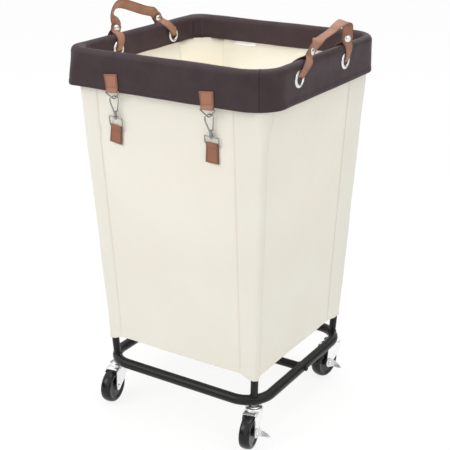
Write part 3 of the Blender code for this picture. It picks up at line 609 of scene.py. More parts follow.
def leather_material(
    name, colour, light, dark, rough, grain=1100.0, depth=0.00014,
    edge_tint=None, on_uv=True, specular=0.35,
):
    """Grained leather: grain is the scale of its cells, depth that of its bumps."""
    shader = new_shader(name)
    coords = shader.coords("UV" if on_uv else "Object")
    cells = shader.voronoi(coords, grain, "F1")
    cracks = shader.voronoi(coords, grain, "DISTANCE_TO_EDGE")
    fine = shader.noise(coords, scale=grain * 2.2, detail=4.0, rough=0.6)
    cloud = shader.noise(coords, scale=28.0, detail=4.0, rough=0.6)
    tint = shader.mix(shader.ramp(cloud, span=(0.32, 0.68)), light, colour)
    tint = shader.mix(shader.ramp(cracks, span=(0.0, 0.10), to=(0.55, 0.0)), tint, dark)
    tint = shader.mix(shader.ramp(fine, span=(0.55, 0.78), to=(0.0, 0.35)), tint, dark)
    if edge_tint is not None:
        tint = shader.mix(shader.calc("MULTIPLY", shader.attr("edge"), 0.85), tint, edge_tint)
    roughness = shader.calc(
        "ADD",
        shader.ramp(fine, span=(0.3, 0.7), to=(rough - 0.05, rough + 0.08)),
        shader.ramp(cloud, span=(0.3, 0.7), to=(-0.03, 0.04)),
    )
    height = shader.calc(
        "ADD",
        shader.calc("MULTIPLY", shader.ramp(cracks, span=(0.0, 0.16)), 0.8),
        shader.calc("MULTIPLY", cells, -0.35),
    )
    soft = shader.noise(shader.coords(), scale=45.0)
    normal = shader.bump(soft, strength=0.16, distance=0.0016)
    normal = shader.bump(height, strength=0.5, distance=depth, normal=normal)
    normal = shader.bump(fine, strength=0.3, distance=depth * 0.6, normal=normal)
    return shader.surface({
        "Base Color": tint,
        "Roughness": roughness,
        "Specular IOR Level": specular,
        "Normal": normal,
    })


def metal_material(name, colour, rough, wear=0.35, tint=(0.55, 0.55, 0.57), metallic=1.0):
    """Plated metal with clouds of a worn tint and darker spots."""
    shader = new_shader(name)
    coords = shader.coords()
    broad = shader.noise(coords, scale=90.0, detail=4.0, rough=0.6)
    fine = shader.stretched_noise(coords, scales=(300.0, 300.0, 2600.0))
    spots = shader.noise(coords, scale=700.0, detail=5.0, rough=0.65)
    colour = shader.mix(shader.ramp(broad, span=(0.42, 0.66), to=(0.0, wear)), colour, tint)
    spot_share = shader.ramp(spots, span=(0.62, 0.72), to=(0.0, 0.35))
    colour = shader.mix(spot_share, colour, np.multiply(tint, 0.55))
    roughness = shader.calc(
        "ADD",
        shader.ramp(broad, span=(0.3, 0.7), to=(rough * 0.75, rough * 1.35)),
        shader.ramp(spots, span=(0.6, 0.75), to=(0.0, 0.12)),
    )
    normal = shader.bump(broad, strength=0.12, distance=0.0004)
    return shader.surface({
        "Base Color": colour,
        "Metallic": metallic,
        "Roughness": roughness,
        "Normal": shader.bump(fine, strength=0.05, distance=0.00006, normal=normal),
    })


def paint_material(name):
    """Satin black powder coat: faint orange peel, dust and rubbed edges."""
    shader = new_shader(name)
    coords = shader.coords()
    peel = shader.noise(coords, scale=520.0, rough=0.5)
    broad = shader.noise(coords, scale=24.0, detail=4.0, rough=0.6)
    specks = shader.noise(coords, scale=1300.0, rough=0.6)
    black, worn = (0.0065, 0.0065, 0.0068), (0.010, 0.0099, 0.0099)
    dust, rubbed = (0.045, 0.044, 0.042), (0.06, 0.06, 0.06)
    tint = shader.mix(shader.ramp(broad, span=(0.35, 0.7)), black, worn)
    tint = shader.mix(shader.ramp(specks, span=(0.68, 0.80), to=(0.0, 0.3)), tint, dust)
    edge = shader.add("NewGeometry").outputs["Pointiness"]
    tint = shader.mix(shader.ramp(edge, span=(0.56, 0.66), to=(0.0, 0.30)), tint, rubbed)
    roughness = shader.calc(
        "ADD",
        shader.ramp(broad, span=(0.3, 0.7), to=(0.30, 0.40)),
        shader.ramp(peel, span=(0.3, 0.7), to=(-0.03, 0.04)),
    )
    return shader.surface({
        "Base Color": tint,
        "Roughness": roughness,
        "Specular IOR Level": 0.27,
        "Normal": shader.bump(peel, strength=0.18, distance=0.00016),
    })


def wheel_material(name):
    """Glossy black plastic with a little dust."""
    shader = new_shader(name)
    coords = shader.coords()
    broad = shader.noise(coords, scale=60.0, detail=4.0, rough=0.6)
    fine = shader.noise(coords, scale=1500.0, rough=0.6)
    dust = shader.noise(coords, scale=260.0, detail=5.0, rough=0.7)
    black, grey = (0.004, 0.004, 0.004), (0.006, 0.006, 0.006)
    tint = shader.mix(shader.ramp(broad, span=(0.35, 0.65)), black, grey)
    dust_share = shader.ramp(dust, span=(0.60, 0.85), to=(0.0, 0.10))
    tint = shader.mix(dust_share, tint, (0.03, 0.029, 0.028))
    roughness = shader.calc(
        "ADD",
        shader.ramp(broad, span=(0.3, 0.7), to=(0.17, 0.24)),
        shader.ramp(dust, span=(0.5, 0.8), to=(0.0, 0.05)),
    )
    return shader.surface({
        "Base Color": tint,
        "Roughness": roughness,
        "Specular IOR Level": 0.34,
        "Normal": shader.bump(fine, strength=0.10, distance=0.00008),
    })


def thread_material(name, colour):
    shader = new_shader(name)
    twist = shader.stretched_noise(shader.coords(), scales=(2600.0, 2600.0, 2600.0))
    share = shader.ramp(twist, span=(0.35, 0.65))
    return shader.surface({
        "Base Color": shader.mix(share, np.multiply(colour, 0.8), colour),
        "Roughness": 0.8,
        "Sheen Weight": 0.2,
        "Normal": shader.bump(twist, strength=0.5, distance=0.0001),
    })


def label_material(name):
    """White satin tape, its threads running along V."""
    shader = new_shader(name)
    satin = shader.stretched_noise(shader.coords("UV"), scales=(5200.0, 300.0, 1.0))
    share = shader.ramp(satin, span=(0.3, 0.7))
    return shader.surface({
        "Base Color": shader.mix(share, (0.86, 0.87, 0.90), (0.93, 0.94, 0.97)),
        "Roughness": shader.ramp(satin, span=(0.3, 0.7), to=(0.42, 0.62)),
        "Sheen Weight": 0.2,
        "Normal": shader.bump(satin, strength=0.2, distance=0.0001),
    })


CANVAS = canvas_material(
    "canvas_cream", colour=(0.862, 0.837, 0.757), dark=(0.68, 0.63, 0.52), through=0.14
)
# The pockets and the floor get a brighter, warmer copy of the canvas: painted light standing in for the
# light that bounces round inside the bag.
CANVAS_IN_PAINTED_LIGHT = canvas_material(
    "canvas_inside_painted_light", colour=(0.945, 0.905, 0.800), dark=(0.75, 0.67, 0.52), through=0.20
)
CUFF = leather_material(
    "cuff_brown", colour=(0.041, 0.0245, 0.028), light=(0.052, 0.033, 0.037),
    dark=(0.020, 0.012, 0.0145), rough=0.48, grain=950.0, depth=0.00010,
    on_uv=False, specular=0.20,
)
STRAP = leather_material(
    "strap_tan", colour=(0.270, 0.130, 0.076), light=(0.375, 0.198, 0.126),
    dark=(0.150, 0.062, 0.036), rough=0.54, edge_tint=(0.12, 0.052, 0.031),
)
TAB = leather_material(
    "tab_tan", colour=(0.260, 0.107, 0.056), light=(0.315, 0.138, 0.078),
    dark=(0.17, 0.066, 0.038), rough=0.52, edge_tint=(0.11, 0.045, 0.027),
)
TAB_UPPER = leather_material(
    "tab_tan_upper", colour=(0.330, 0.148, 0.090), light=(0.385, 0.180, 0.112),
    dark=(0.20, 0.082, 0.048), rough=0.54, edge_tint=(0.13, 0.056, 0.033),
)
NICKEL = metal_material("nickel", colour=(0.82, 0.81, 0.79), rough=0.17)
WIRE = metal_material(
    "clip_nickel", colour=(0.31, 0.308, 0.305), rough=0.18, wear=0.5, tint=(0.17, 0.17, 0.175)
)
ZINC = metal_material(
    "bright_zinc", colour=(0.93, 0.93, 0.94), rough=0.19, wear=0.22,
    tint=(0.72, 0.72, 0.74), metallic=0.86,
)
# The brake lever gets a copy of the bright zinc made mostly non-metallic, so that its pale base colour
# shows: a painted reflection standing in for the white surroundings that the plated lever mirrors.
ZINC_WING_PAINTED_REFLECTION = metal_material(
    "bright_zinc_lever_painted_reflection", colour=(0.80, 0.80, 0.81), rough=0.24, wear=0.3,
    tint=(0.60, 0.60, 0.62), metallic=0.35,
)
STEEL_DARK = metal_material(
    "dark_zinc", colour=(0.30, 0.30, 0.31), rough=0.30, wear=0.5, tint=(0.16, 0.16, 0.17)
)
PAINT = paint_material("frame_black")
WHEEL = wheel_material("wheel_black")
THREAD = thread_material("thread_cream", colour=(0.84, 0.72, 0.62))
THREAD_TAN = thread_material("thread_tan", colour=(0.095, 0.042, 0.024))
THREAD_DARK = thread_material("thread_dark", colour=(0.050, 0.034, 0.037))
LABEL = label_material("label_white")

# =====================================================================
# dimensions shared by the frame, bag and cuff
# =====================================================================
# base ring: a square of tube with round corners
ring_low, ring_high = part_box("base_ring")
RING_R = (ring_high.z - ring_low.z) / 2
RING_Z = (ring_high.z + ring_low.z) / 2
RING_HALF = ring_high.x - RING_R
RING_BEND = 0.058

# rim tube inside the cuff
rim_low, rim_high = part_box("top_ring")
RIM_Z = (rim_high.z + rim_low.z) / 2
RIM_HALF = rim_high.x - (rim_high.z - rim_low.z) / 2
RIM_BEND = 0.055

# cuff: offsets of its two legs from the rim's line, and heights
cuff_low, cuff_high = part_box("cuff")
CUFF_OFF = cuff_high.x - RIM_HALF
CUFF_IN_OFF = 0.0129
CREST_Z = cuff_high.z
CUFF_OUT_Z = cuff_low.z
CUFF_IN_Z = 0.750
SPRING_Z = CREST_Z - 0.0105

# bag walls: half width and corner bend at the bottom and the top
wall_low, wall_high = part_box("bag_front_panel")
WALL_Z0, WALL_Z1 = wall_low.z, wall_high.z
WALL_H = WALL_Z1 - WALL_Z0
HALF0, HALF1 = 0.1915, -wall_low.y
BEND0, BEND1 = 0.0120, 0.0300
HEM = 0.0115  # line of stitches above the bottom edge

bar_low, bar_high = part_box("cross_bar")
BAR_Y = (bar_low.y + bar_high.y) / 2
BAR_R = (bar_high.y - bar_low.y) / 2

# the posts run from bend to bend, which cut in from the square's corners
BEND_CUT = 1 - math.sqrt(0.5)
POST_FOOT = RING_HALF - RING_BEND * BEND_CUT
POST_HEAD = RIM_HALF - RIM_BEND * BEND_CUT
POST_R = 0.008

# faces anticlockwise from above: right, back, left, front.  Each has its way
# out and its way along, which leads to the corner it shares with the next
FACE_OUT = [vec(1, 0, 0), vec(0, 1, 0), vec(-1, 0, 0), vec(0, -1, 0)]
FACE_ALONG = [vec(0, 1, 0), vec(-1, 0, 0), vec(0, -1, 0), vec(1, 0, 0)]
CORNER_WAY = [out + along for out, along in zip(FACE_OUT, FACE_ALONG)]
RIGHT, FRONT = 0, 3
# corner name to the face that leads to it
CORNERS = {"front_left": 2, "front_right": 3, "back_right": 0, "back_left": 1}
SIDES = (("left", -1), ("right", 1))


def wall_half(z):
    return HALF0 + (HALF1 - HALF0) * (z - WALL_Z0) / WALL_H


def front_right_bend(z):
    """The front right corner is creased over its post below the cuff."""
    wall_bend = BEND0 + (BEND1 - BEND0) * (z - WALL_Z0) / WALL_H
    return 0.0105 + (wall_bend - 0.0105) * smooth(z, 0.655, 0.722)


def corner_bend(face, z):
    """Bend of the corner between a face and the next one."""
    if face == FRONT:
        return front_right_bend(z)
    return BEND0 + (BEND1 - BEND0) * (z - WALL_Z0) / WALL_H


def post_axis(face, z):
    share = (z - RING_Z) / (RIM_Z - RING_Z)
    return CORNER_WAY[face] * (POST_FOOT + (POST_HEAD - POST_FOOT) * share) + UP * z


def bend_normal(face, angle):
    """Way out of a corner bend, at an angle round from the face."""
    return FACE_OUT[face] * math.cos(angle) + FACE_ALONG[face] * math.sin(angle)


# =====================================================================
# frame: ring, posts, cross bar, bolts
# =====================================================================
def base_ring():
    flat_steps, bend_steps, seg = 10, 20, 32
    centre = RING_HALF - RING_BEND
    points, normals = [], []
    for face, out in enumerate(FACE_OUT):
        for i in range(flat_steps):
            x = -centre + 2 * centre * i / flat_steps
            points.append(out * RING_HALF + FACE_ALONG[face] * x)
            normals.append(out)
        for i in range(bend_steps):
            normal = bend_normal(face, math.pi / 2 * i / bend_steps)
            points.append(CORNER_WAY[face] * centre + normal * RING_BEND)
            normals.append(normal)
    points = np.array(points)[:, None] + UP * RING_Z
    turn = (np.arange(seg) * math.tau / seg)[None, :, None]
    out_part = np.array(normals)[:, None] * RING_R * np.cos(turn)
    grid = points + out_part + UP * RING_R * np.sin(turn)
    body = outward(grid.reshape(-1, 3), grid_faces(len(points), seg, True, True))
    ring = make("ring_tube", *body, PAINT, "frame")
    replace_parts(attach(ring, ROOT), "base_ring")


def weld(name, centre, axis, radius, onto, size):
    """A lumpy weld bead round a tube where it meets a surface.  onto(point)
    gives the point moved onto the joint line."""
    beads = 40
    matrix = frame_on(centre, axis)
    points = []
    for i in range(beads):
        turn = math.tau * i / beads
        local = (radius * math.cos(turn), radius * math.sin(turn), 0)
        points.append(onto(moved(matrix, local)))
    points = resample(points, count=beads * 3 + 1, closed=True)
    radii = size * (1 + 0.16 * np.cos(np.arange(len(points)) * math.tau / 5.0))
    bead = make(name, *pipe_data(points, radii, 10, True), PAINT, "frame")
    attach(bead, ROOT)


def corner_post(name, face):
    foot = post_axis(face, RING_Z)
    rise = unit(post_axis(face, RIM_Z) - foot)
    heights = np.linspace(RING_Z + RING_R * 0.985, 0.7841, 40)
    # the tube starts inside the ring's top
    heights[0] = RING_Z + RING_R * 0.80
    path = np.array([post_axis(face, z) for z in heights])
    post = pipe("post_tube_" + name, path, POST_R, PAINT, 28, "frame")
    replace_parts(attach(post, ROOT), "corner_post_" + name)
    bend_centre = CORNER_WAY[face] * (RING_HALF - RING_BEND)

    def onto_ring(point):
        """Slide along the post's axis until on the ring tube."""
        for _ in range(30):
            aside = np.linalg.norm((point - bend_centre)[:2]) - RING_BEND
            aside = max(-RING_R * 0.98, min(RING_R * 0.98, aside))
            want = RING_Z + math.sqrt(RING_R**2 - aside**2)
            point = point + rise * (want - point[2]) * 0.7
        return point

    weld("post_weld_" + name, foot + rise * RING_R, rise, POST_R + 0.0003, onto_ring, 0.0016)


def cross_bar():
    half = RING_HALF - RING_R * 0.55
    path = [vec(x, BAR_Y, RING_Z) for x in np.linspace(-half, half, 30)]
    bar = pipe("cross_bar_tube", path, BAR_R, PAINT, 28, "frame")
    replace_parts(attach(bar, ROOT), "cross_bar")


# (radius, height) of a domed bolt head with a dimple, and its shank
BOLT = [
    (0.0, 0.0022), (0.0019, 0.0022), (0.0023, 0.0036), (0.0043, 0.0034), (0.0057, 0.0024),
    (0.0062, 0.0008), (0.0062, 0.0), (0.0032, 0.0), (0.0032, -0.020), (0.0, -0.020),
]


def bar_end(side, sign):
    """Bolt on the ring's outside and weld on its inside."""
    way = vec(sign, 0, 0)
    matrix = frame_on(vec(sign * (RING_HALF + RING_R + 0.0003), BAR_Y, RING_Z), way)
    head = fillet(BOLT, 0.0004, 2)
    bolt = lathe("bar_bolt_" + side, head, PAINT, matrix, 36, "frame", angle=35)
    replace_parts(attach(bolt, ROOT), "cross_bar_bolt_" + side)

    def onto_ring(point):
        rise = point[2] - RING_Z
        x = sign * (RING_HALF - math.sqrt(max(RING_R**2 - rise**2, 0)))
        return vec(x, point[1], point[2])

    centre = vec(sign * RING_HALF, BAR_Y, RING_Z)
    weld("bar_weld_" + side, centre, way, BAR_R + 0.0003, onto_ring, 0.0014)


base_ring()
for name, face in CORNERS.items():
    corner_post(name, face)
cross_bar()
for side, sign in SIDES:
    bar_end(side, sign)

# the rim tube lies hidden in the cuff: it keeps its CAD shape
rim = frame["nodes"]["top_ring"]
rim.data.materials.clear()
rim.data.materials.append(PAINT)


# =====================================================================
# bag walls
# =====================================================================
def seam_at(face, end, z):
    """Where a post pocket's seam runs along a face; end is -1 or 1."""
    if face == FRONT:
        if end < 0:
            return -0.1665 + 0.0125 * smooth(0.70 - z, 0.0, 0.54)
        return 0.1530 - 0.0010 * (0.70 - z) / 0.54
    if face == RIGHT:
        if end < 0:  # this pocket is sewn in right at the corner
            return -(wall_half(z) - front_right_bend(z) - 0.0016)
        return 0.1185
    return end * 0.1500


def wall_columns():
    """Columns of one face, (part, share of it): from the last corner to the
    first seam, between the seams, on to the next corner, and round its bend."""
    parts = {
        "before": [0.0, 0.30, 0.62, 0.80, 0.91, 0.965],
        "between": [
            0.0, 0.006, 0.014, 0.030, 0.06, 0.10, *np.linspace(0.15, 0.85, 17),
            0.90, 0.94, 0.970, 0.986, 0.994,
        ],
        "after": [0.0, 0.035, 0.09, 0.20, 0.38, 0.70],
        "bend": np.linspace(0, 1, 10)[:-1],
    }
    return [(part, t) for part, shares in parts.items() for t in shares]


# heights of the rows above the bottom edge, close together at the hem
WALL_ROWS = [
    0.0, 0.0010, 0.0024, 0.0046, 0.0072, 0.0092, 0.0104, 0.0115, 0.0126, 0.0142, 0.0175,
    0.0240, *np.linspace(0.034, 0.5985, 62),
]
PULL_X, PULL_Z = (-0.1210, 0.1067), 0.650  # where the lower clip tabs pull


def relief(face, x, z, half):
    """How far the cloth stands out of the flat wall, at x along a face."""
    share = (z - WALL_Z0) / WALL_H
    across = np.clip(x / (half - 0.012), -1, 1)
    span = 1 - across * across
    # the wall pulls in between its posts and bellies a little lower down
    depth = -0.0032 * span * math.sin(math.pi * min(max(share, 0), 1)) ** 0.8
    depth += 0.0016 * span * math.sin(math.pi * share) * math.cos(math.pi * (share - 0.35))
    depth += 0.0026 * ripple(x * 5.0 + face * 7.3, z * 1.6, face * 3.1) * span
    creases = ripple(x * 16.0 + face * 5.7, z * 3.2 + 9.0, face * 1.7)
    depth += 0.00085 * creases * min(1.0, 1.6 * span + 0.15)
    # upright gathers under the cuff and above the hem
    gathers = ripple(x * 42.0 + face * 3.0, z * 5.0, 4.0)
    where = smooth(z, 0.60, 0.76) + 0.45 * smooth(0.30 - z, 0.0, 0.14)
    depth += 0.0011 * gathers * where * min(1, 3 * span)
    for end in (-1, 1):
        gap = x - seam_at(face, end, z)
        outer = gap * end  # positive towards the corner
        # the seam bites in; the pocket's turned edge stands up beside it
        depth -= 0.00038 * bell(gap, 0.00095)
        if outer > 0:
            depth += 0.00050 * (1 - math.exp(-outer / 0.001)) * bell(outer, 0.011)
        # little puckers along the thread
        depth += 0.00035 * bell(gap, 0.0045) * ripple(face * 9.1 + end, z * 150.0, 2.0)
    if face == FRONT:
        # pull lines where the lower clip tabs are sewn on
        for pull_x in PULL_X:
            away = math.hypot((x - pull_x) * 1.25, z - PULL_Z)
            rays = math.cos(5 * math.atan2(x - pull_x, z - PULL_Z))
            fade = 1 if away > 0.012 else away / 0.012
            depth += 0.0013 * bell(away - 0.022, 0.030) * rays * fade
    return depth


def hem_relief(height):
    """The folded hem is thicker, and bites in at its stitches."""
    fold = 1 - smooth(height, HEM - 0.0004, HEM + 0.0012)
    return 0.0006 * fold - 0.0004 * bell(height - HEM, 0.0007)


def bottom_z(face, x, half):
    """The bottom edge dips to the posts at the corners."""
    start, end = 0.1515, half - 0.0135
    if face == RIGHT:
        start, end = (0.1790, half - 0.0020) if x < 0 else (0.1200, 0.1640)
    z = WALL_Z0 + 0.0008 - 0.0092 * smooth(abs(x), start, end)
    return z + 0.0012 * ripple(x * 9.0, face * 4.0, 1.0) * (1 if abs(x) < 0.15 else 0.2)


def wall_point(face, part, t, height):
    """Position of one wall vertex and its distance along the face."""
    flat_z = WALL_Z0 + height
    first, last = seam_at(face, -1, flat_z), seam_at(face, 1, flat_z)

    def layout(z):
        """Half width, where the next bend begins, and x along the face."""
        half = wall_half(z)
        start = corner_bend((face - 1) % 4, z) - half
        end = half - corner_bend(face, z)
        x = {
            "before": start + (first - start) * t,
            "between": first + (last - first) * t,
            "after": last + (end - last) * t,
            "bend": end,
        }[part]
        return half, end, x

    half, _, x = layout(flat_z)
    # the bottom edge's drop fades out going up
    z = flat_z + (bottom_z(face, x, half) - WALL_Z0) * (1 - smooth(height, 0.0, 0.05))
    half, end, x = layout(z)
    if part != "bend":
        depth = relief(face, x, z, half) + hem_relief(height)
        return FACE_OUT[face] * (half + depth) + FACE_ALONG[face] * x + UP * z, x
    bend = corner_bend(face, z)
    angle = math.pi / 2 * t
    depth = 0.0004 + 0.0012 * ripple(t * 1.5 + face * 3.0, z * 11.0, 5.0)
    depth += relief(face, end, z, half) * (1 - t)
    depth += relief((face + 1) % 4, -end, z, half) * t + hem_relief(height)
    point = CORNER_WAY[face] * end + bend_normal(face, angle) * (bend + depth) + UP * z
    return point, end + bend * angle


def bag_walls():
    face_u = 0.45  # step in U from face to face
    columns = [(face, part, t) for face in range(4) for part, t in wall_columns()]
    rows, cols = len(WALL_ROWS), len(columns)
    grid = np.zeros((rows, cols, 3))
    uv = np.zeros((rows, cols + 1, 2))
    seam = np.zeros((rows, cols))
    for i, height in enumerate(WALL_ROWS):
        for j, (face, part, t) in enumerate(columns):
            grid[i, j], along = wall_point(face, part, t, height)
            uv[i, j] = (face * face_u + along, grid[i, j, 2])
            # the seam attribute tints the canvas along the seams and the hem: partly thread colour,
            # partly painted shade in their grooves
            if part in ("between", "after") and t == 0.0:
                seam[i, j] = 0.75
            if abs(height - HEM) < 0.0004 and part == "between":
                seam[i, j] = 0.22
    uv[:, cols] = uv[:, 0] + vec(4 * face_u, 0)
    bag = sheet("bag_shell", grid, 0.0012, CANVAS, "canvas", uv, True, {"seam": seam})
    panels = ("bag_front_panel", "bag_back_panel", "bag_left_panel", "bag_right_panel")
    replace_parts(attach(bag, ROOT), *panels)


def bag_thread():
    """Thread along the eight seams and the hem."""

    def on_wall(face, x, z, lift):
        half = wall_half(z)
        out = half + relief(face, x, z, half) + lift
        return FACE_OUT[face] * out + FACE_ALONG[face] * x + UP * z

    paths = []
    for face, out in enumerate(FACE_OUT):
        for end in (-1, 1):
            points = []
            for height in np.linspace(0.001, 0.585, 150):
                z = WALL_Z0 + height
                x = seam_at(face, end, z) + end * 0.0016
                points.append(on_wall(face, x, z, 0.00012))
            paths.append((points, out))
        first, last = (seam_at(face, end, WALL_Z0) - end * 0.004 for end in (-1, 1))
        points = []
        for x in np.linspace(first, last, 60):
            z = bottom_z(face, x, wall_half(WALL_Z0)) + HEM
            points.append(on_wall(face, x, z, -0.00035))
        paths.append((points, out))
    thread = stitches(
        "bag_seam_thread", paths, THREAD, "canvas", pitch=0.0036, length=0.0026, radius=0.00030
    )
    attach(thread, ROOT)


def post_pocket(name, face):
    """A strip across an inside corner, seam to seam, that holds the post."""
    after = (face + 1) % 4
    inward = unit(-CORNER_WAY[face])
    heights = np.concatenate([[0.0, 0.004], np.linspace(0.012, 0.5938, 40)])
    shares = np.linspace(0, 1, 21)
    grid = np.zeros((len(heights), len(shares), 3))
    for i, height in enumerate(heights):
        for j, t in enumerate(shares):
            arch = math.sin(math.pi * t)
            z = WALL_Z0 + height - 0.0088 * arch**1.2 * (1 - smooth(height, 0, 0.05))
            half = wall_half(z) - 0.0016
            first_x = seam_at(face, 1, z) - 0.0030
            last_x = seam_at(after, -1, z) + 0.0030
            first = FACE_OUT[face] * half + FACE_ALONG[face] * first_x
            last = FACE_OUT[after] * half + FACE_ALONG[after] * last_x
            # slack below the cuff, drawn tight against the post inside it
            slack = 1 - smooth(z, 0.722, 0.742)
            middle = post_axis(face, z) + inward * (POST_R + 0.0007 + 0.0023 * slack)
            reach = unit(last - first) * 0.011
            # Bezier curve from seam to seam
            point = first * (1 - t) ** 3 + 3 * (middle - reach) * t * (1 - t) ** 2
            point += 3 * (middle + reach) * t * t * (1 - t) + last * t**3
            wobble = 0.0015 * ripple(t * 4 + face, z * 9.0, 3.0)
            point += inward * (0.0024 + wobble) * arch * slack
            point[2] = z
            grid[i, j] = point
    # columns reversed, so that this face looks into the bag
    attrs = {"seam": np.zeros(grid.shape[:2])}
    strip = sheet("bag_pocket_" + name, grid[:, ::-1], 0.0009, CANVAS_IN_PAINTED_LIGHT, "canvas", attrs=attrs)
    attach(strip, ROOT)


def bag_floor():
    """Slack cloth, its corners drawn in round the posts."""
    count, half, level = 41, 0.1868, 0.1592
    shares = np.linspace(-1, 1, count)
    grid = np.zeros((count, count, 3))
    for i, y_share in enumerate(shares):
        for j, x_share in enumerate(shares):
            x, y = x_share * half, y_share * half
            cut = max(0.0, (abs(x) + abs(y)) - (2 * half - 0.0275))
            x -= math.copysign(cut / 2, x)
            y -= math.copysign(cut / 2, y)
            sag = 0.0034 * (1 - x_share**2) * (1 - y_share**2)
            wave = 0.0016 * ripple(x * 14, y * 14, 8.0) * (1 - x_share**4) * (1 - y_share**4)
            grid[i, j] = (x, y, level - sag + wave)
    attrs = {"seam": np.zeros((count, count))}
    cloth = sheet("bag_floor_cloth", grid, 0.0012, CANVAS_IN_PAINTED_LIGHT, "canvas", attrs=attrs)
    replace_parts(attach(cloth, ROOT), "bag_floor_panel")


bag_walls()
bag_thread()
for name, face in CORNERS.items():
    post_pocket(name, face)
bag_floor()

# =====================================================================
# cuff
# =====================================================================
CUFF_SEAM = math.radians(36.0)  # round the front right corner, from the front face
CUFF_FLAT = RIM_HALF - RIM_BEND  # half length of its straights

# the stuffed fold is drawn tight round some corners and slack round others:
# bend of the crest and of the hanging edge, by the face before the corner
CUFF_BEND = {0: (0.052, 0.048), 1: (0.026, 0.030), 2: (0.032, 0.014), 3: (0.058, 0.055)}
CUFF_WRINKLE = {0: 0.8, 1: 4.0, 2: 0.8, 3: 0.5}


def cuff_profile():
    """Section of the folded band, up the inside, over the crest and down the
    outside: (offset from the rim's line, height)."""
    rises = (
        0.0, 0.0008, 0.0022, 0.0044, 0.0070, 0.0100,
        0.0150, 0.0230, 0.0330, 0.0430, 0.0530, 0.0600,
    )
    profile = [(CUFF_OFF, CUFF_OUT_Z + rise) for rise in rises]
    for i in range(13):
        turn = math.pi * i / 12
        z = SPRING_Z + (CREST_Z - SPRING_Z) * math.sin(turn)
        profile.append((CUFF_OFF * math.cos(turn), z))
    for t in (0.12, 0.28, 0.46, 0.64, 0.80, 0.90, 0.96, 1.0):
        off = -CUFF_OFF - (CUFF_IN_OFF - CUFF_OFF) * t
        profile.append((off, SPRING_Z - (SPRING_Z - CUFF_IN_Z) * t))
    return profile[::-1]


def cuff_columns():
    """(face, is bent, share of the flat or angle round the bend)."""
    flat_steps = 40
    columns = []
    for face in range(4):
        columns += [(face, False, i / flat_steps) for i in range(flat_steps)]
        angles = list(np.linspace(0, math.pi / 2, 19)[:-1])
        if face == FRONT:
            # closer columns at the seam
            angles = [angle for angle in angles if abs(angle - CUFF_SEAM) > 0.06]
            steps = (-0.045, -0.026, -0.016, -0.008, 0.0, 0.008, 0.016, 0.026, 0.045)
            angles = sorted(angles + [CUFF_SEAM + step for step in steps])
        columns += [(face, True, angle) for angle in angles]
    return columns


def cuff_bend(face, off, z):
    crest, edge = CUFF_BEND[face]
    if off > 0:
        return edge + (crest - edge) * smooth(z, CUFF_OUT_Z, SPRING_Z)
    return RIM_BEND + (crest - RIM_BEND) * smooth(z, CREST_Z - 0.0030, CREST_Z - 0.0002)


def outer_leg_relief(z, turn):
    """Slack between crest and hem on the flats, and the turned-under hem."""
    share = (z - CUFF_OUT_Z) / (SPRING_Z - CUFF_OUT_Z)
    depth = -0.0011 * math.sin(math.pi * min(max(share, 0), 1)) * (1 - turn)
    height = z - CUFF_OUT_Z
    depth += 0.0006 * (1 - smooth(height, 0.0068, 0.0086)) - 0.00035 * bell(height - 0.0100, 0.0016)
    if height < 0.0024:
        depth -= 0.0007 * (1 - height / 0.0024) ** 2
    return depth


def wrinkles(face, bent, t, turn, along, z):
    """Wrinkles where the band gathers round the inside of the corners."""
    near = turn
    if not bent:
        near = max(0.0, 1 - min(t, 1 - t) * 2 * CUFF_FLAT / 0.045) * 0.35
    below = min(1.0, max(0.0, (SPRING_Z + 0.004 - z) / 0.012))
    ridge = 0.6 * math.sin(along / 0.0053 + 0.9 * ripple(along * 30, z * 12, 1))
    ridge += 0.5 * math.sin(along / 0.0029 + 1.3)
    return 0.0021 * CUFF_WRINKLE[face] * near * below * (ridge * 0.8 - 0.15)


def seam_lap(angle):
    """The corner seam: a valley with a raised lap beside it."""
    gap = (angle - CUFF_SEAM) * (RIM_BEND + CUFF_OFF)
    lap = 0.00075 * bell(gap - 0.0022, 0.0019) if gap > 0 else 0.0
    return lap - 0.00230 * bell(gap, 0.00085) + 0.00030 * bell(gap + 0.0017, 0.0012)


def cuff_point(face, bent, t, along, off, z):
    next_half = RIM_HALF - cuff_bend(face, off, z)
    last_half = RIM_HALF - cuff_bend((face - 1) % 4, off, z)
    if bent:
        normal, turn = bend_normal(face, t), math.sin(2 * t)
        base = CORNER_WAY[face] * next_half + normal * (RIM_HALF - next_half)
    else:
        normal, turn = FACE_OUT[face], 0.0
        x = -last_half + (last_half + next_half) * t
        base = normal * RIM_HALF + FACE_ALONG[face] * x
    point = base + normal * off + UP * z
    x, y, _ = point
    depth = 0.0009 * ripple(x * 9.0, y * 9.0, z * 9.0)
    depth += 0.00045 * ripple(x * 28.0, y * 28.0, z * 12.0 + 5)
    inner_leg = off < -0.002 and z < SPRING_Z
    outer_leg = off > 0 and z < SPRING_Z
    if inner_leg:
        depth += wrinkles(face, bent, t, turn, along, z)
        depth = max(depth, -0.0014) - 0.0004 * bell(z - CUFF_IN_Z - 0.006, 0.0012)
        point = point - normal * depth
    else:
        if outer_leg:
            depth += outer_leg_relief(z, turn)
        if face == FRONT and bent:
            depth += seam_lap(t)
        if outer_leg:
            point = point + normal * depth
        else:
            lean = math.atan2(z - SPRING_Z, off)
            point = point + normal * (depth * math.cos(lean))
            point = point + UP * (depth * math.sin(lean) * 0.8)
    # both bottom edges wander a little
    if off > 0 and z < CUFF_OUT_Z + 0.03:
        point[2] += 0.0011 * ripple(along * 16.0, 3.0, 2.0) * (1 - (z - CUFF_OUT_Z) / 0.03)
    if inner_leg and z < CUFF_IN_Z + 0.02:
        point[2] += 0.0013 * ripple(along * 18.0, 9.0, 2.0) * (1 - (z - CUFF_IN_Z) / 0.02)
    return point


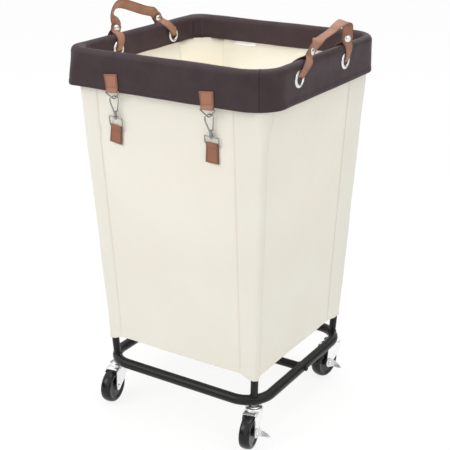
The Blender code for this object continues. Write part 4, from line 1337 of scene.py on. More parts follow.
def cuff_band():
    face_u = 0.43  # step in U from face to face
    profile, columns = cuff_profile(), cuff_columns()
    rows, cols = len(profile), len(columns)
    grid = np.zeros((rows, cols, 3))
    uv = np.zeros((rows, cols + 1, 2))
    section_arc = arc_length(np.array(profile))
    for j, (face, bent, t) in enumerate(columns):
        along = CUFF_FLAT + RIM_BEND * t if bent else -CUFF_FLAT + 2 * CUFF_FLAT * t
        along += face * face_u
        for i, (off, z) in enumerate(profile):
            grid[i, j] = cuff_point(face, bent, t, along, off, z)
            uv[i, j] = (along, section_arc[i])
    uv[:, cols] = uv[:, 0] + vec(4 * face_u, 0)
    cuff = sheet("cuff_band", grid, 0.0014, CUFF, "cuff", uv, True)
    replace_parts(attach(cuff, ROOT), "cuff")


def cuff_thread():
    """Thread down the seam of the front right corner."""
    normal = bend_normal(FRONT, CUFF_SEAM)
    aside = bend_normal(FRONT, CUFF_SEAM + math.pi / 2) * 0.0012
    points = []
    for z in np.linspace(CUFF_OUT_Z + 0.002, SPRING_Z, 30):
        bend = cuff_bend(FRONT, CUFF_OFF, z)
        centre = CORNER_WAY[FRONT] * (RIM_HALF - bend)
        points.append(centre + normal * (bend + CUFF_OFF - 0.0004) + aside + UP * z)
    thread = stitches(
        "cuff_seam_thread", [(points, normal)], THREAD_DARK, "cuff",
        pitch=0.0036, length=0.0025, radius=0.00030,
    )
    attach(thread, ROOT)


def care_label():
    """A blank tape hanging under the back wall's inner cuff."""
    columns = np.linspace(-0.118, -0.062, 22)
    shares = np.linspace(0.0, 1.0, 8)
    grid = np.zeros((len(shares), len(columns), 3))
    for i, t in enumerate(shares):
        loose = 1 - t
        for j, x in enumerate(columns):
            z = 0.7405 + 0.0150 * t + 0.0006 * math.sin(x * 160) * loose
            stand = 0.0040 + 0.0016 * loose**2 + 0.0008 * math.sin(x * 150 + 1) * loose
            grid[i, j] = (x, wall_half(z) - stand, z)
    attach(sheet("care_label", grid, 0.0003, LABEL, "canvas"), ROOT)


cuff_band()
cuff_thread()
care_label()

# =====================================================================
# handles, grommets and rivets
# =====================================================================
GROMMET_Z, RIVET_Z = 0.770, 0.811
LOOP_CLEAR_Z = 0.7745  # above this the strap leans from its hole to its rivet

# a strap end from its loose tail, inside the wall, down through the grommet
# and up the outside: height, offset from the rim's line, half width, cup
STRAP_LOOP = (
    (0.8168, 0.0036, 0.0108, 0.0),
    (0.8110, 0.0037, 0.0110, 0.0),
    (0.8062, 0.0036, 0.0110, 0.0),
    (0.8036, 0.0022, 0.0110, 0.0002),
    (0.8021, -0.0014, 0.0110, 0.0003),
    (0.8008, -0.0060, 0.0110, 0.0004),
    (0.7964, -0.0112, 0.0108, 0.0006),
    (0.7890, -0.0154, 0.0104, 0.0010),
    (0.7800, -0.0168, 0.0094, 0.0016),
    (0.7735, -0.0160, 0.0082, 0.0022),
    (0.7705, -0.0125, 0.0075, 0.0026),
    (0.7700, -0.0050, 0.0072, 0.0028),
    (0.7700, 0.0040, 0.0072, 0.0028),
    (0.7706, 0.0105, 0.0075, 0.0026),
    (0.7742, 0.0134, 0.0082, 0.0022),
    (0.7800, 0.0140, 0.0094, 0.0016),
    (0.7890, 0.0136, 0.0104, 0.0010),
    (0.7966, 0.0122, 0.0108, 0.0006),
    (0.8010, 0.0096, 0.0110, 0.0004),
    (0.8034, 0.0074, 0.0110, 0.0002),
    (0.8062, 0.0064, 0.0110, 0.0),
    (0.8110, 0.0063, 0.0110, 0.0),
    (0.8165, 0.0060, 0.0110, 0.0),
)

# the grip from the slanted end: y, z and the direction of the strap's width
GRIP_Z, GRIP_HALF = 0.8225, 0.0110
GRIP = {
    "left": (
        (0.0656, 0.8225, (0.00, 1.00, 0.00)),
        (0.0590, 0.8266, (0.22, 0.80, 0.56)),
        (0.0450, 0.8302, (0.40, 0.38, 0.83)),
        (0.0270, 0.8350, (0.45, 0.30, 0.84)),
        (-0.0060, 0.8462, (0.45, 0.30, 0.84)),
        (-0.0335, 0.8550, (0.45, 0.20, 0.87)),
        (-0.0520, 0.8580, (0.42, -0.10, 0.90)),
        (-0.0650, 0.8555, (0.42, -0.50, 0.76)),
        (-0.0745, 0.8480, (0.42, -0.80, 0.42)),
        (-0.0790, 0.8395, (0.38, -0.92, 0.10)),
        (-0.0780, 0.8310, (0.10, -0.99, 0.00)),
        (-0.0720, 0.8225, (-0.25, -0.97, 0.00)),
    ),
    "right": (
        (-0.0555, 0.8225, (0.00, 1.00, 0.00)),
        (-0.0480, 0.8270, (0.57, 0.80, 0.10)),
        (-0.0360, 0.8300, (0.87, 0.45, 0.10)),
        (-0.0188, 0.8332, (0.98, 0.20, 0.00)),
        (0.0040, 0.8372, (1.00, 0.00, 0.00)),
        (0.0239, 0.8430, (0.99, 0.10, -0.05)),
        (0.0411, 0.8472, (0.95, 0.15, -0.20)),
        (0.0570, 0.8488, (0.90, 0.22, -0.35)),
        (0.0690, 0.8452, (0.88, 0.35, -0.25)),
        (0.0765, 0.8378, (0.88, 0.45, -0.10)),
        (0.0800, 0.8300, (0.80, 0.60, 0.00)),
        (0.0820, 0.8225, (0.68, 0.73, 0.00)),
    ),
}

# width direction of the strap at each rivet
RIVET_WIDTH = {
    "left": {"slanted": unit(vec(0.30, 0.95, 0.0)), "upright": unit(vec(-0.40, -0.92, 0.0))},
    "right": {"slanted": vec(0.0, 1.0, 0.0), "upright": unit(vec(0.60, 0.80, 0.0))},
}

# (radius, height) over the cuff's outer and inner faces
GROMMET_OUTER = (
    (0.0106, 0.0008), (0.0113, 0.0021), (0.0128, 0.0027), (0.0150, 0.0024), (0.0170, 0.0014),
    (0.0178, 0.0003), (0.0171, -0.0001), (0.0119, -0.0001), (0.0116, -0.0008),
)
GROMMET_INNER = (
    (0.0116, 0.0008), (0.0119, 0.0001), (0.0171, 0.0001), (0.0177, -0.0003), (0.0170, -0.0012),
    (0.0150, -0.0020), (0.0128, -0.0021), (0.0112, -0.0015), (0.0106, -0.0006),
)
# (radius, height) of one rivet cap over its seat
RIVET_SEAT = 0.0031
RIVET_CAP = (
    (0.0, 0.0021), (0.0022, 0.0020), (0.0044, 0.0014), (0.0058, 0.0009),
    (0.0064, 0.0010), (0.0070, 0.0005), (0.0068, -0.0004), (0.0020, -0.0006),
)


def mid_y(node):
    low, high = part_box(node)
    return (low[1] + high[1]) / 2


def strap_end(side, sign, tag):
    """Stations of one strap end: (position, width direction + half width + cup)."""
    hole = mid_y("grommet_%s_%s" % (side, tag))
    rivet = mid_y("handle_rivet_%s_%s" % (side, tag))
    lean = (rivet - hole) / (RIVET_Z - LOOP_CLEAR_Z)
    turned = RIVET_WIDTH[side][tag]
    flat = vec(0, math.copysign(1.0, turned[1]), 0)
    stations = []
    for z, off, half, cup in STRAP_LOOP:
        # the strap lies flat on the cuff and is turned at its rivet
        share = smooth(z, 0.784, 0.808)
        width = unit(flat * (1 - share) + turned * share)
        y = hole + lean * max(z - LOOP_CLEAR_Z, 0.0)
        stations.append(((sign * (RIM_HALF + off), y, z), (*width, half, cup)))
    return stations


def handle_strap(side, sign, fold_x, fold_z):
    stations = strap_end(side, sign, "slanted")
    for y, z, width in GRIP[side]:
        x = sign * (fold_x + 0.12 * (z - GRIP_Z))
        stations.append(((x, y, z), (*width, GRIP_HALF, 0.0)))
    stations += strap_end(side, sign, "upright")[::-1]
    positions, extras = (np.array(part) for part in zip(*stations))
    points, extras = resample(positions, step=0.0016, extra=extras)
    tangents = unit(np.gradient(points, axis=0))
    widths = square_to(unit(extras[:, 0:3]), tangents)
    # even out the twist
    for _ in range(26):
        widths[1:-1] = unit(widths[:-2] + 2 * widths[1:-1] + widths[2:])
        widths = square_to(widths, tangents)
    name = "handle_strap_" + side
    strap = ribbon(name, points, widths, extras[:, 3], 0.0020, STRAP, cup=extras[:, 4])
    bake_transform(strap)
    loops = ["handle_loop_%s_%s" % (side, tag) for tag in ("slanted", "upright")]
    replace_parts(strap, *loops, "handle_grip_" + side)


def grommet(side, sign, tag):
    node = "grommet_%s_%s" % (side, tag)
    matrix = frame_on(vec(sign * RIM_HALF, mid_y(node), GROMMET_Z), vec(sign, 0, 0))
    profile = [(radius, CUFF_OFF + height) for radius, height in GROMMET_OUTER]
    profile += [(radius, -CUFF_IN_OFF + height) for radius, height in GROMMET_INNER]
    profile = fillet(profile, 0.0004, 2, True)
    name = "grommet_ring_%s_%s" % (side, tag)
    ring = lathe(name, profile, NICKEL, matrix, 48, "nickel", closed=True, angle=60)
    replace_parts(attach(ring, ROOT), node)


def rivet(side, sign, tag, fold_x):
    """A cap on each face of the strap, its post between them."""
    node = "handle_rivet_%s_%s" % (side, tag)
    width = RIVET_WIDTH[side][tag]
    normal = vec(width[1], -width[0], 0)
    normal *= sign if normal[0] > 0 else -sign
    matrix = frame_on(vec(sign * fold_x, mid_y(node), RIVET_Z), normal)
    cap = [(radius, RIVET_SEAT + height) for radius, height in RIVET_CAP]
    profile = fillet(cap + [(radius, -height) for radius, height in reversed(cap)], 0.0004, 2)
    name = "rivet_cap_%s_%s" % (side, tag)
    body = lathe(name, profile, NICKEL, matrix, 36, "nickel", angle=50)
    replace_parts(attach(body, ROOT), node)


for side, sign in SIDES:
    fold = JOINT["handle_fold_" + side]["pos_m"]
    fold_x, fold_z = abs(fold[0]), fold[2]
    handle_strap(side, sign, fold_x, fold_z)
    for tag in ("slanted", "upright"):
        grommet(side, sign, tag)
        rivet(side, sign, tag, fold_x)

# =====================================================================
# clips: a ring on the upper tab, a hook in the ring, and the hook's eye in
# the lower tab
# =====================================================================
CUFF_FACE = -(RIM_HALF + CUFF_OFF)  # Y of the cuff's front
HOOK_DROP = 0.0070  # lowers the hook's mouth, barrel and gate
WIRE_R = 0.00120
WIRE_STEP = 0.0012
WIRE_BEND = 0.0022
RING_HALF_W, RING_NOSE_R = 0.0160, 0.0055
EYE_HALF_W = 0.0157

# x and z of the bars the tabs fold round, z of the tabs' sewn ends, the upper
# tab's turn in degrees and the length of the ring down to its nose
CLIPS = {
    "left": dict(
        upper_x=-0.1140, upper_z=0.7240, upper_end=0.7581, turn=-6.5, nose=0.0152,
        lower_x=-0.1205, lower_z=0.6490, lower_end=0.6130,
    ),
    "right": dict(
        upper_x=0.1077, upper_z=0.7200, upper_end=0.7529, turn=-5.5, nose=0.0165,
        lower_x=0.1067, lower_z=0.6480, lower_end=0.6095,
    ),
}

# (radius, height) of the swivel barrel and of the eye's boss, (across, up) of
# the hook's lower arm and (across, up) of the gate, before HOOK_DROP
BARREL = (
    (0.0, -0.0214), (0.0024, -0.0217), (0.0033, -0.0232), (0.0034, -0.0262),
    (0.0029, -0.0268), (0.0029, -0.0278), (0.0034, -0.0284), (0.0034, -0.0318),
    (0.0026, -0.0324), (0.0015, -0.0328), (0.0015, -0.0384), (0.0027, -0.0387),
    (0.0026, -0.0398), (0.0, -0.0404),
)
EYE_BOSS = (
    (0.0019, -0.0332), (0.0037, -0.0332), (0.0039, -0.0357), (0.0037, -0.0381), (0.0019, -0.0381)
)
HOOK_ARM = (
    (-0.0016, -0.0240 - HOOK_DROP),
    (-0.0027, -0.0212 - HOOK_DROP),
    (-0.0050, -0.0150 - HOOK_DROP * 0.6),
    (-0.0068, -0.0110 - HOOK_DROP * 0.3),
    (-0.0078, -0.0072),
)
GATE_X, GATE_Z = 0.0044, -0.0218 - HOOK_DROP
GATE = ((0.0, 0.0), (0.0014, 0.0090), (0.0031, 0.0200), (0.0037, 0.0182 + HOOK_DROP))


def dropped(profile):
    return [(radius, height - HOOK_DROP) for radius, height in profile]


def tab(name, half_end, half_fold, surface_y, bar, end_z, mat, turn):
    """A strap folded round a bar and sewn down flat, turned about its bar.
    Gives the tab and the lines of its box of stitches."""
    bar_x, bar_y, bar_z = bar

    def turned(x, y, z):
        across, rise = x - bar_x, z - bar_z
        return vec(
            bar_x + across * math.cos(turn) + rise * math.sin(turn),
            y,
            bar_z + rise * math.cos(turn) - across * math.sin(turn),
        )

    way = 1 if end_z > bar_z else -1
    thick = 0.0013
    radius = 0.0014 + thick / 2
    back, front = 0.0003 + thick / 2, 0.0003 + thick * 1.5 + 0.0001
    # back layer, fold and front layer: (y, z)
    path = [(surface_y(z) - back, z) for z in np.linspace(end_z, bar_z + way * 0.0045, 9)]
    for k in range(9):
        angle = math.radians(230 - 284 * k / 8)
        path.append((bar_y - radius * math.cos(angle), bar_z - way * radius * math.sin(angle)))
    for z in np.linspace(bar_z + way * 0.0048, end_z, 12):
        share = min(1.0, abs(z - bar_z) / 0.010)
        path.append((surface_y(z) - front - 0.0003 * math.sin(math.pi * share), z))

    def half_at(z):
        return half_fold + (half_end - half_fold) * (z - bar_z) / (end_z - bar_z)

    # no narrower than at the fold
    halves = np.array([[max(half_at(z), half_fold)] for _, z in path])
    points, halves = resample([turned(bar_x, y, z) for y, z in path], step=0.0011, extra=halves)
    widths = np.repeat(vec(math.cos(turn), 0, -math.sin(turn))[None], len(points), 0)
    body = ribbon(name, points, widths, halves[:, 0], thick, mat, cols=15)
    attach(body, ROOT)
    thread_off = front + thick / 2 + 0.0001
    near, far = bar_z + way * 0.0085, end_z - way * 0.0030
    corners = []
    for z, end in ((near, -1), (near, 1), (far, 1), (far, -1), (near, -1)):
        x = bar_x + end * (half_at(z) - 0.0030)
        corners.append(turned(x, surface_y(z) - thread_off, z))
    lines = [(np.array(pair), vec(0, -1, 0)) for pair in zip(corners, corners[1:])]
    return body, lines


def clip_matrix(origin, rotation, turn=0.0):
    """Frame whose X is across, Z up the clip, Y into the bag."""
    place = Matrix.Translation(Vector([float(value) for value in origin]))
    tilt = Euler(rotation).to_matrix().to_4x4()
    return np.array(place @ tilt @ Matrix.Rotation(turn, 4, "Z"))


def closed_wire(outline, matrix):
    """Points round an outline in local XZ, the straights filled in."""
    corners = [moved(matrix, (x, 0, z)) for x, z in outline]
    points = []
    for i, here in enumerate(corners):
        there = corners[(i + 1) % len(corners)]
        steps = max(1, int(np.linalg.norm(there - here) / WIRE_STEP))
        points += [here + (there - here) * k / steps for k in range(steps)]
    return np.array(points)


def clip_ring(side, matrix, nose):
    corner_x = RING_HALF_W - WIRE_BEND
    shoulder = arc_points(corner_x, -WIRE_BEND, WIRE_BEND, 90, -130, 6)
    tip = arc_points(0, -(nose - RING_NOSE_R), RING_NOSE_R, -40, -100, 8)
    outline = shoulder + tip + [(-x, z) for x, z in reversed(shoulder)]
    points = closed_wire(outline, matrix)
    name = "clip_ring_wire_" + side
    ring = pipe(name, points, WIRE_R, WIRE, 14, "nickel", True, start=matrix[:3, 1])
    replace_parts(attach(ring, ROOT), "clip_ring_" + side)


def clip_hook(side, matrix):
    """A bent arm, thickest where it meets the swivel barrel."""
    arm = list(HOOK_ARM)
    for i in range(9):
        angle = math.radians(190 - 160 * i / 8)
        arm.append((0.0084 * math.cos(angle), -0.0026 + 0.0072 * math.sin(angle)))
    arm.append((0.0080, -0.0014))
    points = resample([moved(matrix, (x, 0, z)) for x, z in arm], step=0.0008)
    radii = np.interp(
        np.linspace(0, 1, len(points)),
        [0, 0.25, 0.55, 0.9, 1.0],
        [0.00165, 0.00145, 0.00150, 0.0013, 0.0010],
    )
    wire = outward(*pipe_data(points, radii, 14, start=matrix[:3, 1]))
    barrel = outward(*lathe_data(fillet(dropped(BARREL), 0.0004, 2), 28, matrix))
    name = "clip_hook_body_" + side
    hook = make(name, *merge([wire, barrel]), WIRE, "nickel", angle=50)
    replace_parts(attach(hook, "clip_hook_" + side), "clip_hook_" + side)


def clip_gate(side, matrix):
    """The lever that closes the hook, with its pivot pin."""
    path = [moved(matrix, (GATE_X + x, 0, GATE_Z + z)) for x, z in GATE]
    points = resample(path, step=0.0008)
    lever = outward(*pipe_data(points, np.linspace(0.00115, 0.00090, len(points)), 12))
    pin_r = 0.0014
    pin = fillet([(0, -pin_r), (pin_r, -pin_r), (pin_r, pin_r), (0, pin_r)], 0.0003, 2)
    pivot = frame_on(moved(matrix, (GATE_X, 0, GATE_Z)), matrix[:3, 1])
    parts = [lever, outward(*lathe_data(pin, 16, pivot))]
    gate = make("clip_gate_lever_" + side, *merge(parts), WIRE, "nickel", angle=50)
    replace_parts(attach(gate, "clip_gate_" + side), "clip_gate_" + side)


def clip_eye(side, matrix, span):
    """A wire rectangle with the boss that holds the swivel."""
    right = EYE_HALF_W - WIRE_BEND
    top, bottom = -0.0356 - HOOK_DROP - WIRE_BEND, -span + WIRE_BEND
    corners = ((right, top, 90.0), (right, bottom, 0.0), (-right, bottom, -90.0), (-right, top, -180.0))
    outline = []
    for x, z, start in corners:
        outline += arc_points(x, z, WIRE_BEND, start, -90, 5)
    wire = pipe_data(closed_wire(outline, matrix), WIRE_R, 14, True, start=matrix[:3, 1])
    boss = fillet(dropped(EYE_BOSS), 0.0005, 2, True)
    parts = [wire, outward(*lathe_data(boss, 28, matrix, True))]
    eye = make("clip_eye_wire_" + side, *merge(parts), WIRE, "nickel", angle=50)
    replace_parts(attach(eye, ROOT), "clip_eye_" + side)


def clip(side, sizes):
    turn = math.radians(sizes["turn"])
    lower_z = sizes["lower_z"]
    upper_bar = vec(sizes["upper_x"], CUFF_FACE - 0.0029, sizes["upper_z"])
    lower_bar = vec(sizes["lower_x"], -wall_half(lower_z) - 0.0032, lower_z)
    swivel = JOINT["clip_swivel_" + side]
    centre, axis = vec(*swivel["pos_m"]), unit(vec(*swivel["axis"]))

    upper, upper_lines = tab(
        "clip_tab_upper_" + side, half_end=0.0162, half_fold=0.0146,
        surface_y=lambda z: CUFF_FACE - 0.0002, bar=upper_bar,
        end_z=sizes["upper_end"], mat=TAB_UPPER, turn=turn,
    )
    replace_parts(upper, "clip_upper_tab_" + side)
    lower, lower_lines = tab(
        "clip_tab_lower_" + side, half_end=0.0150, half_fold=0.0136,
        surface_y=lambda z: -wall_half(z) - 0.0006, bar=lower_bar,
        end_z=sizes["lower_end"], mat=TAB, turn=math.atan2(axis[0], axis[2]),
    )
    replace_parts(lower, "clip_lower_tab_" + side)
    thread = stitches(
        "clip_tab_thread_" + side, upper_lines + lower_lines, THREAD_TAN, "strap",
        pitch=0.0029, length=0.0022, radius=0.00042,
    )
    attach(thread, ROOT)

    drop = lower_bar - upper_bar
    ring_matrix = clip_matrix(upper_bar, (math.atan2(drop[1], -drop[2]), turn, 0.0))
    clip_ring(side, ring_matrix, sizes["nose"])
    # the hook and the eye hang from the swivel's centre to the lower bar
    hang = lower_bar - centre
    span = float(np.linalg.norm(hang))
    rotation = (math.asin(hang[1] / span), math.atan2(-hang[0], -hang[2]), 0.0)
    hook_matrix = clip_matrix(centre, rotation, math.radians(44.0))
    clip_hook(side, hook_matrix)
    clip_gate(side, hook_matrix)
    clip_eye(side, clip_matrix(centre, rotation), span)


for side, sizes in CLIPS.items():
    clip(side, sizes)

# =====================================================================
# casters: local X runs from the swivel's axis towards the wheel's axle
# =====================================================================
WHEEL_R = 0.0375
TRAIL = 0.0270
FORK_HALF, FORK_BEND, FORK_TOP = 0.01580, 0.0042, 0.0788

# (radius, height) of the threaded post, washer and upper race
STEM = (
    (0.0, 0.1035), (0.0048, 0.1035), (0.0048, 0.0857), (0.0066, 0.0857), (0.0066, 0.0850),
    (0.0090, 0.0846), (0.0118, 0.0838), (0.0130, 0.0828), (0.0150, 0.0822), (0.0172, 0.0818),
    (0.0184, 0.0808), (0.0184, 0.0796), (0.0172, 0.0791), (0.0062, 0.0791), (0.0062, 0.0765),
    (0.0080, 0.0765), (0.0080, 0.0750), (0.0, 0.0750),
)
# (radius, height) of the lower race, a bowl under the fork's crown
BOWL = (
    (0.0070, 0.0789), (0.0150, 0.0789), (0.0178, 0.0786), (0.0186, 0.0776), (0.0184, 0.0764),
    (0.0172, 0.0757), (0.0150, 0.0748), (0.0120, 0.0740), (0.0095, 0.0738), (0.0095, 0.0748),
    (0.0070, 0.0750),
)
# edges of a fork leg, (z, x): on the axle's side and on the far side
LEG_AXLE_EDGE = np.array((
    (0.0285, 0.0275), (0.0300, 0.0316), (0.0330, 0.0338), (0.0375, 0.0349),
    (0.0440, 0.0350), (0.0560, 0.0344), (0.0700, 0.0328), (0.0790, 0.0300),
))
LEG_FAR_EDGE = np.array((
    (0.0285, 0.0262), (0.0300, 0.0222), (0.0330, 0.0180), (0.0375, 0.0120), (0.0420, 0.0050),
    (0.0480, -0.0030), (0.0560, -0.0105), (0.0650, -0.0150), (0.0790, -0.0155),
))
LEG_ROWS = (
    0.0285, 0.0290, 0.0300, 0.0315, 0.0335, 0.0360, 0.0390, 0.0430, 0.0480,
    0.0530, 0.0580, 0.0630, 0.0680, 0.0720, FORK_TOP - FORK_BEND,
)
# (radius, offset) from the wheel's hub out to its tread: dished side, stepped
# edge and crowned tread
WHEEL_SIDE = [
    (0.0034, 0.0128), (0.0084, 0.0128), (0.0092, 0.0122), (0.0098, 0.0104), (0.0130, 0.0096),
    (0.0240, 0.0094), (0.0262, 0.0100), (0.0276, 0.0112), (0.0300, 0.0117), (0.0326, 0.0116),
    (0.0332, 0.0110), (0.0336, 0.0114), (0.0348, 0.0106), (0.0360, 0.0088), (0.0368, 0.0060),
    (0.0373, 0.0030),
]
# brake lever, from the plate on the axle to the pointed wing bent out:
# x, offset from the plate's plane, z, half width
PLATE_Y = 0.0158 + 0.0003 + 0.00075
BRAKE = np.array((
    (0.0400, -0.0001, 0.0386, 0.0010),
    (0.0394, 0.0, 0.0385, 0.0044),
    (0.0376, 0.0, 0.0381, 0.0072),
    (0.0350, 0.0, 0.0377, 0.0092),
    (0.0315, 0.0, 0.0373, 0.0104),
    (0.0270, 0.0, 0.0368, 0.0110),
    (0.0225, 0.0, 0.0352, 0.0108),
    (0.0188, 0.0004, 0.0334, 0.0100),
    (0.0162, 0.0024, 0.0316, 0.0088),
    (0.0158, 0.0060, 0.0308, 0.0076),
    (0.0165, 0.0110, 0.0306, 0.0060),
    (0.0180, 0.0170, 0.0307, 0.0041),
    (0.0196, 0.0225, 0.0309, 0.0023),
    (0.0208, 0.0258, 0.0310, 0.0008),
))


def caster_stem(name, upright):
    stem = lathe("caster_race_" + name, fillet(STEM, 0.0005), ZINC, upright, 48, "zinc")
    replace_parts(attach(stem, ROOT), "caster_stem_" + name)


def caster_nut(name, upright):
    sides, radius = 6, 0.0079
    verts = []
    for z in (0.0840, 0.0878):
        for i in range(sides):
            turn = math.tau * i / sides + 0.3
            local = (radius * math.cos(turn), radius * math.sin(turn), z)
            verts.append(moved(upright, local))
    faces = []
    for i in range(sides):
        i2 = (i + 1) % sides
        faces.append((i, i2, sides + i2, sides + i))
    faces += [tuple(range(sides))[::-1], tuple(range(sides, 2 * sides))]
    body = outward(np.array(verts), faces)
    nut = make("caster_nut_" + name, *body, STEEL_DARK, "zinc", angle=35)
    bevel = nut.modifiers.new("Edge", "BEVEL")
    bevel.width, bevel.segments, bevel.limit_method = 0.0006, 2, "ANGLE"
    bevel.angle_limit = math.radians(40)
    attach(nut, ROOT)


def caster_fork(name, matrix):
    """One pressed sheet: leg, crown, leg."""
    spring = FORK_TOP - FORK_BEND
    profile = [(-FORK_HALF, z) for z in LEG_ROWS]
    for i in range(1, 7):
        angle = math.pi / 2 * i / 6
        y = -FORK_HALF + FORK_BEND * (1 - math.cos(angle))
        profile.append((y, spring + FORK_BEND * math.sin(angle)))
    mirrored = [(-y, z) for y, z in reversed(profile)]
    flat = FORK_HALF - FORK_BEND
    profile += [(y, FORK_TOP) for y in np.linspace(-flat, flat, 9)[1:-1]]
    profile += mirrored
    cols = 17
    grid = np.zeros((len(profile), cols, 3))
    for i, (row_y, row_z) in enumerate(profile):
        far = np.interp(row_z, *LEG_FAR_EDGE.T)
        near = np.interp(row_z, *LEG_AXLE_EDGE.T)
        for j in range(cols):
            t = j / (cols - 1)
            y, z = row_y, row_z
            if z < spring:
                # groove pressed down the leg
                ends = smooth(z, 0.046, 0.056) * (1 - smooth(z, 0.066, 0.074))
                y -= math.copysign(0.0010 * bell(t - 0.5, 0.16) * ends, y)
            else:
                # the crown dips at both free edges
                z -= 0.0016 * abs(2 * t - 1) ** 6
            grid[i, j] = moved(matrix, (far + (near - far) * t, y, z))
    grid = facing(grid, len(profile) // 2, UP)
    fork = sheet("caster_fork_sheet_" + name, grid, 0.0018, ZINC, "zinc", angle=40)
    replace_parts(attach(fork, "caster_" + name), "caster_fork_" + name)


def caster_bowl(name, upright):
    profile = fillet(BOWL, 0.0005, 3, True)
    bowl = lathe("caster_bowl_" + name, profile, ZINC, upright, 48, "zinc", closed=True)
    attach(bowl, "caster_" + name)


def caster_axle(name, axle_matrix, brake):
    """Pin with pressed heads; a brake's plate lifts the head on its side."""
    head, tail = 0.0161 + (0.0018 if brake else 0.0), -0.0161
    profile = [
        (0.0, head + 0.0026), (0.0022, head + 0.0026), (0.0040, head + 0.0020),
        (0.0054, head + 0.0009), (0.0054, head), (0.0030, head),
        (0.0030, tail), (0.0054, tail), (0.0054, tail - 0.0011),
        (0.0040, tail - 0.0023), (0.0022, tail - 0.0028), (0.0, tail - 0.0028),
    ]
    profile = fillet(profile, 0.0004)
    axle = lathe("caster_axle_pin_" + name, profile, ZINC, axle_matrix, 36, "zinc")
    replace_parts(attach(axle, "caster_" + name), "caster_axle_" + name)


def caster_wheel(name, axle_matrix):
    other_side = [(radius, -off) for radius, off in reversed(WHEEL_SIDE)]
    profile = fillet(WHEEL_SIDE + [(WHEEL_R, 0.0)] + other_side, 0.0005, 2, True)
    wheel = lathe(
        "wheel_tyre_" + name, profile, WHEEL, axle_matrix, 72, "wheel", closed=True, angle=50
    )
    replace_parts(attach(wheel, "wheel_" + name), "caster_wheel_" + name)


def brake_lever(name, matrix):
    """A dished plate on the axle with a pointed wing bent out."""
    path = BRAKE[:, :3] + vec(0, PLATE_Y, 0)
    points, halves = resample(path, count=46, extra=BRAKE[:, 3:])
    cols = 19
    grid = np.zeros((len(points), cols, 3))
    for i, (x, y, row_z) in enumerate(points):
        for j in range(cols):
            t = 2 * j / (cols - 1) - 1
            # the wing's columns crowd towards its edges
            share = math.sin(t * math.pi / 2) if i > 20 else t
            z = row_z + halves[i, 0] * share
            if y < PLATE_Y + 0.001:
                away = math.hypot(x - TRAIL, z - WHEEL_R)
                dish = 0.0014 * smooth(away, 0.0062, 0.0086)
                dish -= 0.0007 * smooth(away, 0.0088, 0.0108)
            else:
                dish = 0.0010 * (1 - t * t) * min(1, (y - PLATE_Y) / 0.006)
            grid[i, j] = moved(matrix, (x, y + dish, z))
    grid = facing(grid, 10, matrix[:3, 1])
    lever = sheet("brake_wing_" + name, grid, 0.0011, ZINC_WING_PAINTED_REFLECTION, "zinc", angle=50)
    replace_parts(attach(lever, "brake_" + name), "brake_lever_" + name)


def caster(name):
    swivel = JOINT["caster_swivel_" + name]["pos_m"]
    wheel = JOINT["wheel_spin_" + name]["pos_m"]
    foot = vec(swivel[0], swivel[1], 0)
    trail_way = unit(vec(wheel[0], wheel[1], 0) - foot)
    matrix = np.eye(4)
    matrix[:3, 0], matrix[:3, 1], matrix[:3, 3] = trail_way, np.cross(UP, trail_way), foot
    upright = frame_on(foot, UP)
    axle_matrix = frame_on(moved(matrix, (TRAIL, 0, WHEEL_R)), matrix[:3, 1])
    brake = ("brake_" + name) in JOINT
    caster_stem(name, upright)
    caster_nut(name, upright)
    caster_fork(name, matrix)
    caster_bowl(name, upright)
    caster_axle(name, axle_matrix, brake)
    caster_wheel(name, axle_matrix)
    if brake:
        brake_lever(name, matrix)


for name in CORNERS:
    caster(name)


# =====================================================================
# stage
# =====================================================================
def studio_floor():
    """A pale floor, mostly glowing so that it fades into the background."""
    shader = new_shader("floor_pale")
    cloud = shader.noise(shader.coords(), scale=3.0, detail=4.0)
    share = shader.ramp(cloud, span=(0.3, 0.7))
    mat = shader.surface({
        "Base Color": shader.mix(share, (0.93, 0.93, 0.93), (0.96, 0.96, 0.96)),
        "Roughness": 0.75,
        "Specular IOR Level": 0.1,
    })
    glow = shader.add("Emission", {"Color": (1, 1, 1, 1), "Strength": 1.0})
    shader.blend_surface(0.84, glow.outputs[0])
    half = 14.0
    corners = [(-half, -half, 0), (half, -half, 0), (half, half, 0), (-half, half, 0)]
    mesh = bpy.data.meshes.new("floor")
    mesh.from_pydata(corners, [], [(0, 1, 2, 3)])
    mesh.materials.append(mat)
    floor = bpy.data.objects.new("studio_floor", mesh)
    bpy.context.scene.collection.objects.link(floor)


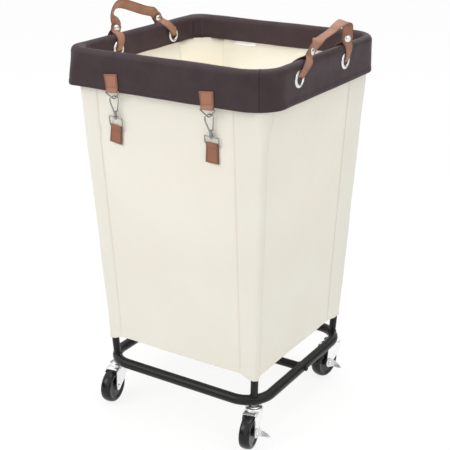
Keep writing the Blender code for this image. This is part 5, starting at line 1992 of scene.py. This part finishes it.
def studio_world():
    """White all round; shiny pieces see pale panels with darker gaps."""
    world = bpy.data.worlds.new("studio")
    bpy.context.scene.world = world
    shader = Shader(world)
    white = (1, 1, 1, 1)
    diffuse = shader.tree.nodes["Background"]
    shader.put(diffuse, "Color", white)
    shader.put(diffuse, "Strength", 0.92)
    way = shader.add("SeparateXYZ", {0: shader.coords("Generated")}).outputs
    heading = shader.calc("ARCTAN2", way[1], way[0])
    # four panels round the horizon, added to the height
    swing = shader.calc("MULTIPLY_ADD", heading, 4.0, 0.8)
    wave = shader.add("Math", {0: swing}, operation="SINE").outputs[0]
    level = shader.calc("MULTIPLY_ADD", wave, 0.38, way[2])
    ramp = shader.add("ValToRGB", {0: level})
    stops = ramp.color_ramp.elements
    stops[0].position, stops[0].color = 0.0, (0.20, 0.20, 0.205, 1)
    stops[1].position, stops[1].color = 0.75, (1.25, 1.25, 1.25, 1)
    stops.new(0.14).color = (0.42, 0.42, 0.43, 1)
    stops.new(0.24).color = (1.0, 1.0, 1.0, 1)
    panels = shader.add("Background", {"Color": ramp.outputs[0], "Strength": 1.0})
    backdrop = shader.add("Background", {"Color": white, "Strength": 1.05})
    ray = shader.add("LightPath").outputs
    glossy, camera = ray["Is Glossy Ray"], ray["Is Camera Ray"]
    lit = shader.add("MixShader", {0: glossy, 1: diffuse.outputs[0], 2: panels.outputs[0]})
    seen = shader.add("MixShader", {0: camera, 1: lit.outputs[0], 2: backdrop.outputs[0]})
    shader.put(shader.tree.nodes["World Output"], 0, seen.outputs[0])


def area_light(name, place, target, size, power, colour=(1, 1, 1)):
    data = bpy.data.lights.new(name, "AREA")
    data.shape = "RECTANGLE"
    data.size, data.size_y = size
    data.energy = power
    data.color = colour
    light = bpy.data.objects.new(name, data)
    bpy.context.scene.collection.objects.link(light)
    light.location = place
    way = Vector(target) - Vector(place)
    light.rotation_euler = way.to_track_quat("-Z", "Y").to_euler()
    return light


def studio_lights():
    area_light("key_light", place=(-1.5, -2.6, 2.3), target=(0, 0, 0.45), size=(1.8, 1.8), power=34)
    area_light("fill_light", place=(2.8, -0.8, 1.7), target=(0, 0, 0.4), size=(1.6, 1.8), power=9)
    area_light("top_light", place=(0.1, 0.3, 2.7), target=(0, 0, 0.5), size=(1.6, 1.6), power=26)
    # a weak warm light inside the bag, shining up
    inner = area_light(
        "inner_light", place=(0, 0, 0.42), target=(0, 0, 2), size=(0.22, 0.22),
        power=1.25, colour=(1.0, 0.97, 0.91),
    )
    inner.visible_camera = False
    inner.visible_glossy = False


def studio_camera():
    data = bpy.data.cameras.new("camera")
    data.sensor_width = 36.0
    data.lens = 81.96
    data.shift_x = -0.00478
    data.shift_y = 0.0004
    data.clip_start, data.clip_end = 0.05, 60
    camera = bpy.data.objects.new("camera", data)
    bpy.context.scene.collection.objects.link(camera)
    camera.location = (1.1198, -1.7737, 1.1992)
    camera.rotation_euler = (math.radians(68.91), 0.0, math.radians(32.27))
    bpy.context.scene.camera = camera
    bpy.context.scene.view_settings.view_transform = "Standard"
    bpy.context.scene.view_settings.look = "None"


studio_floor()
studio_world()
studio_lights()
studio_camera()
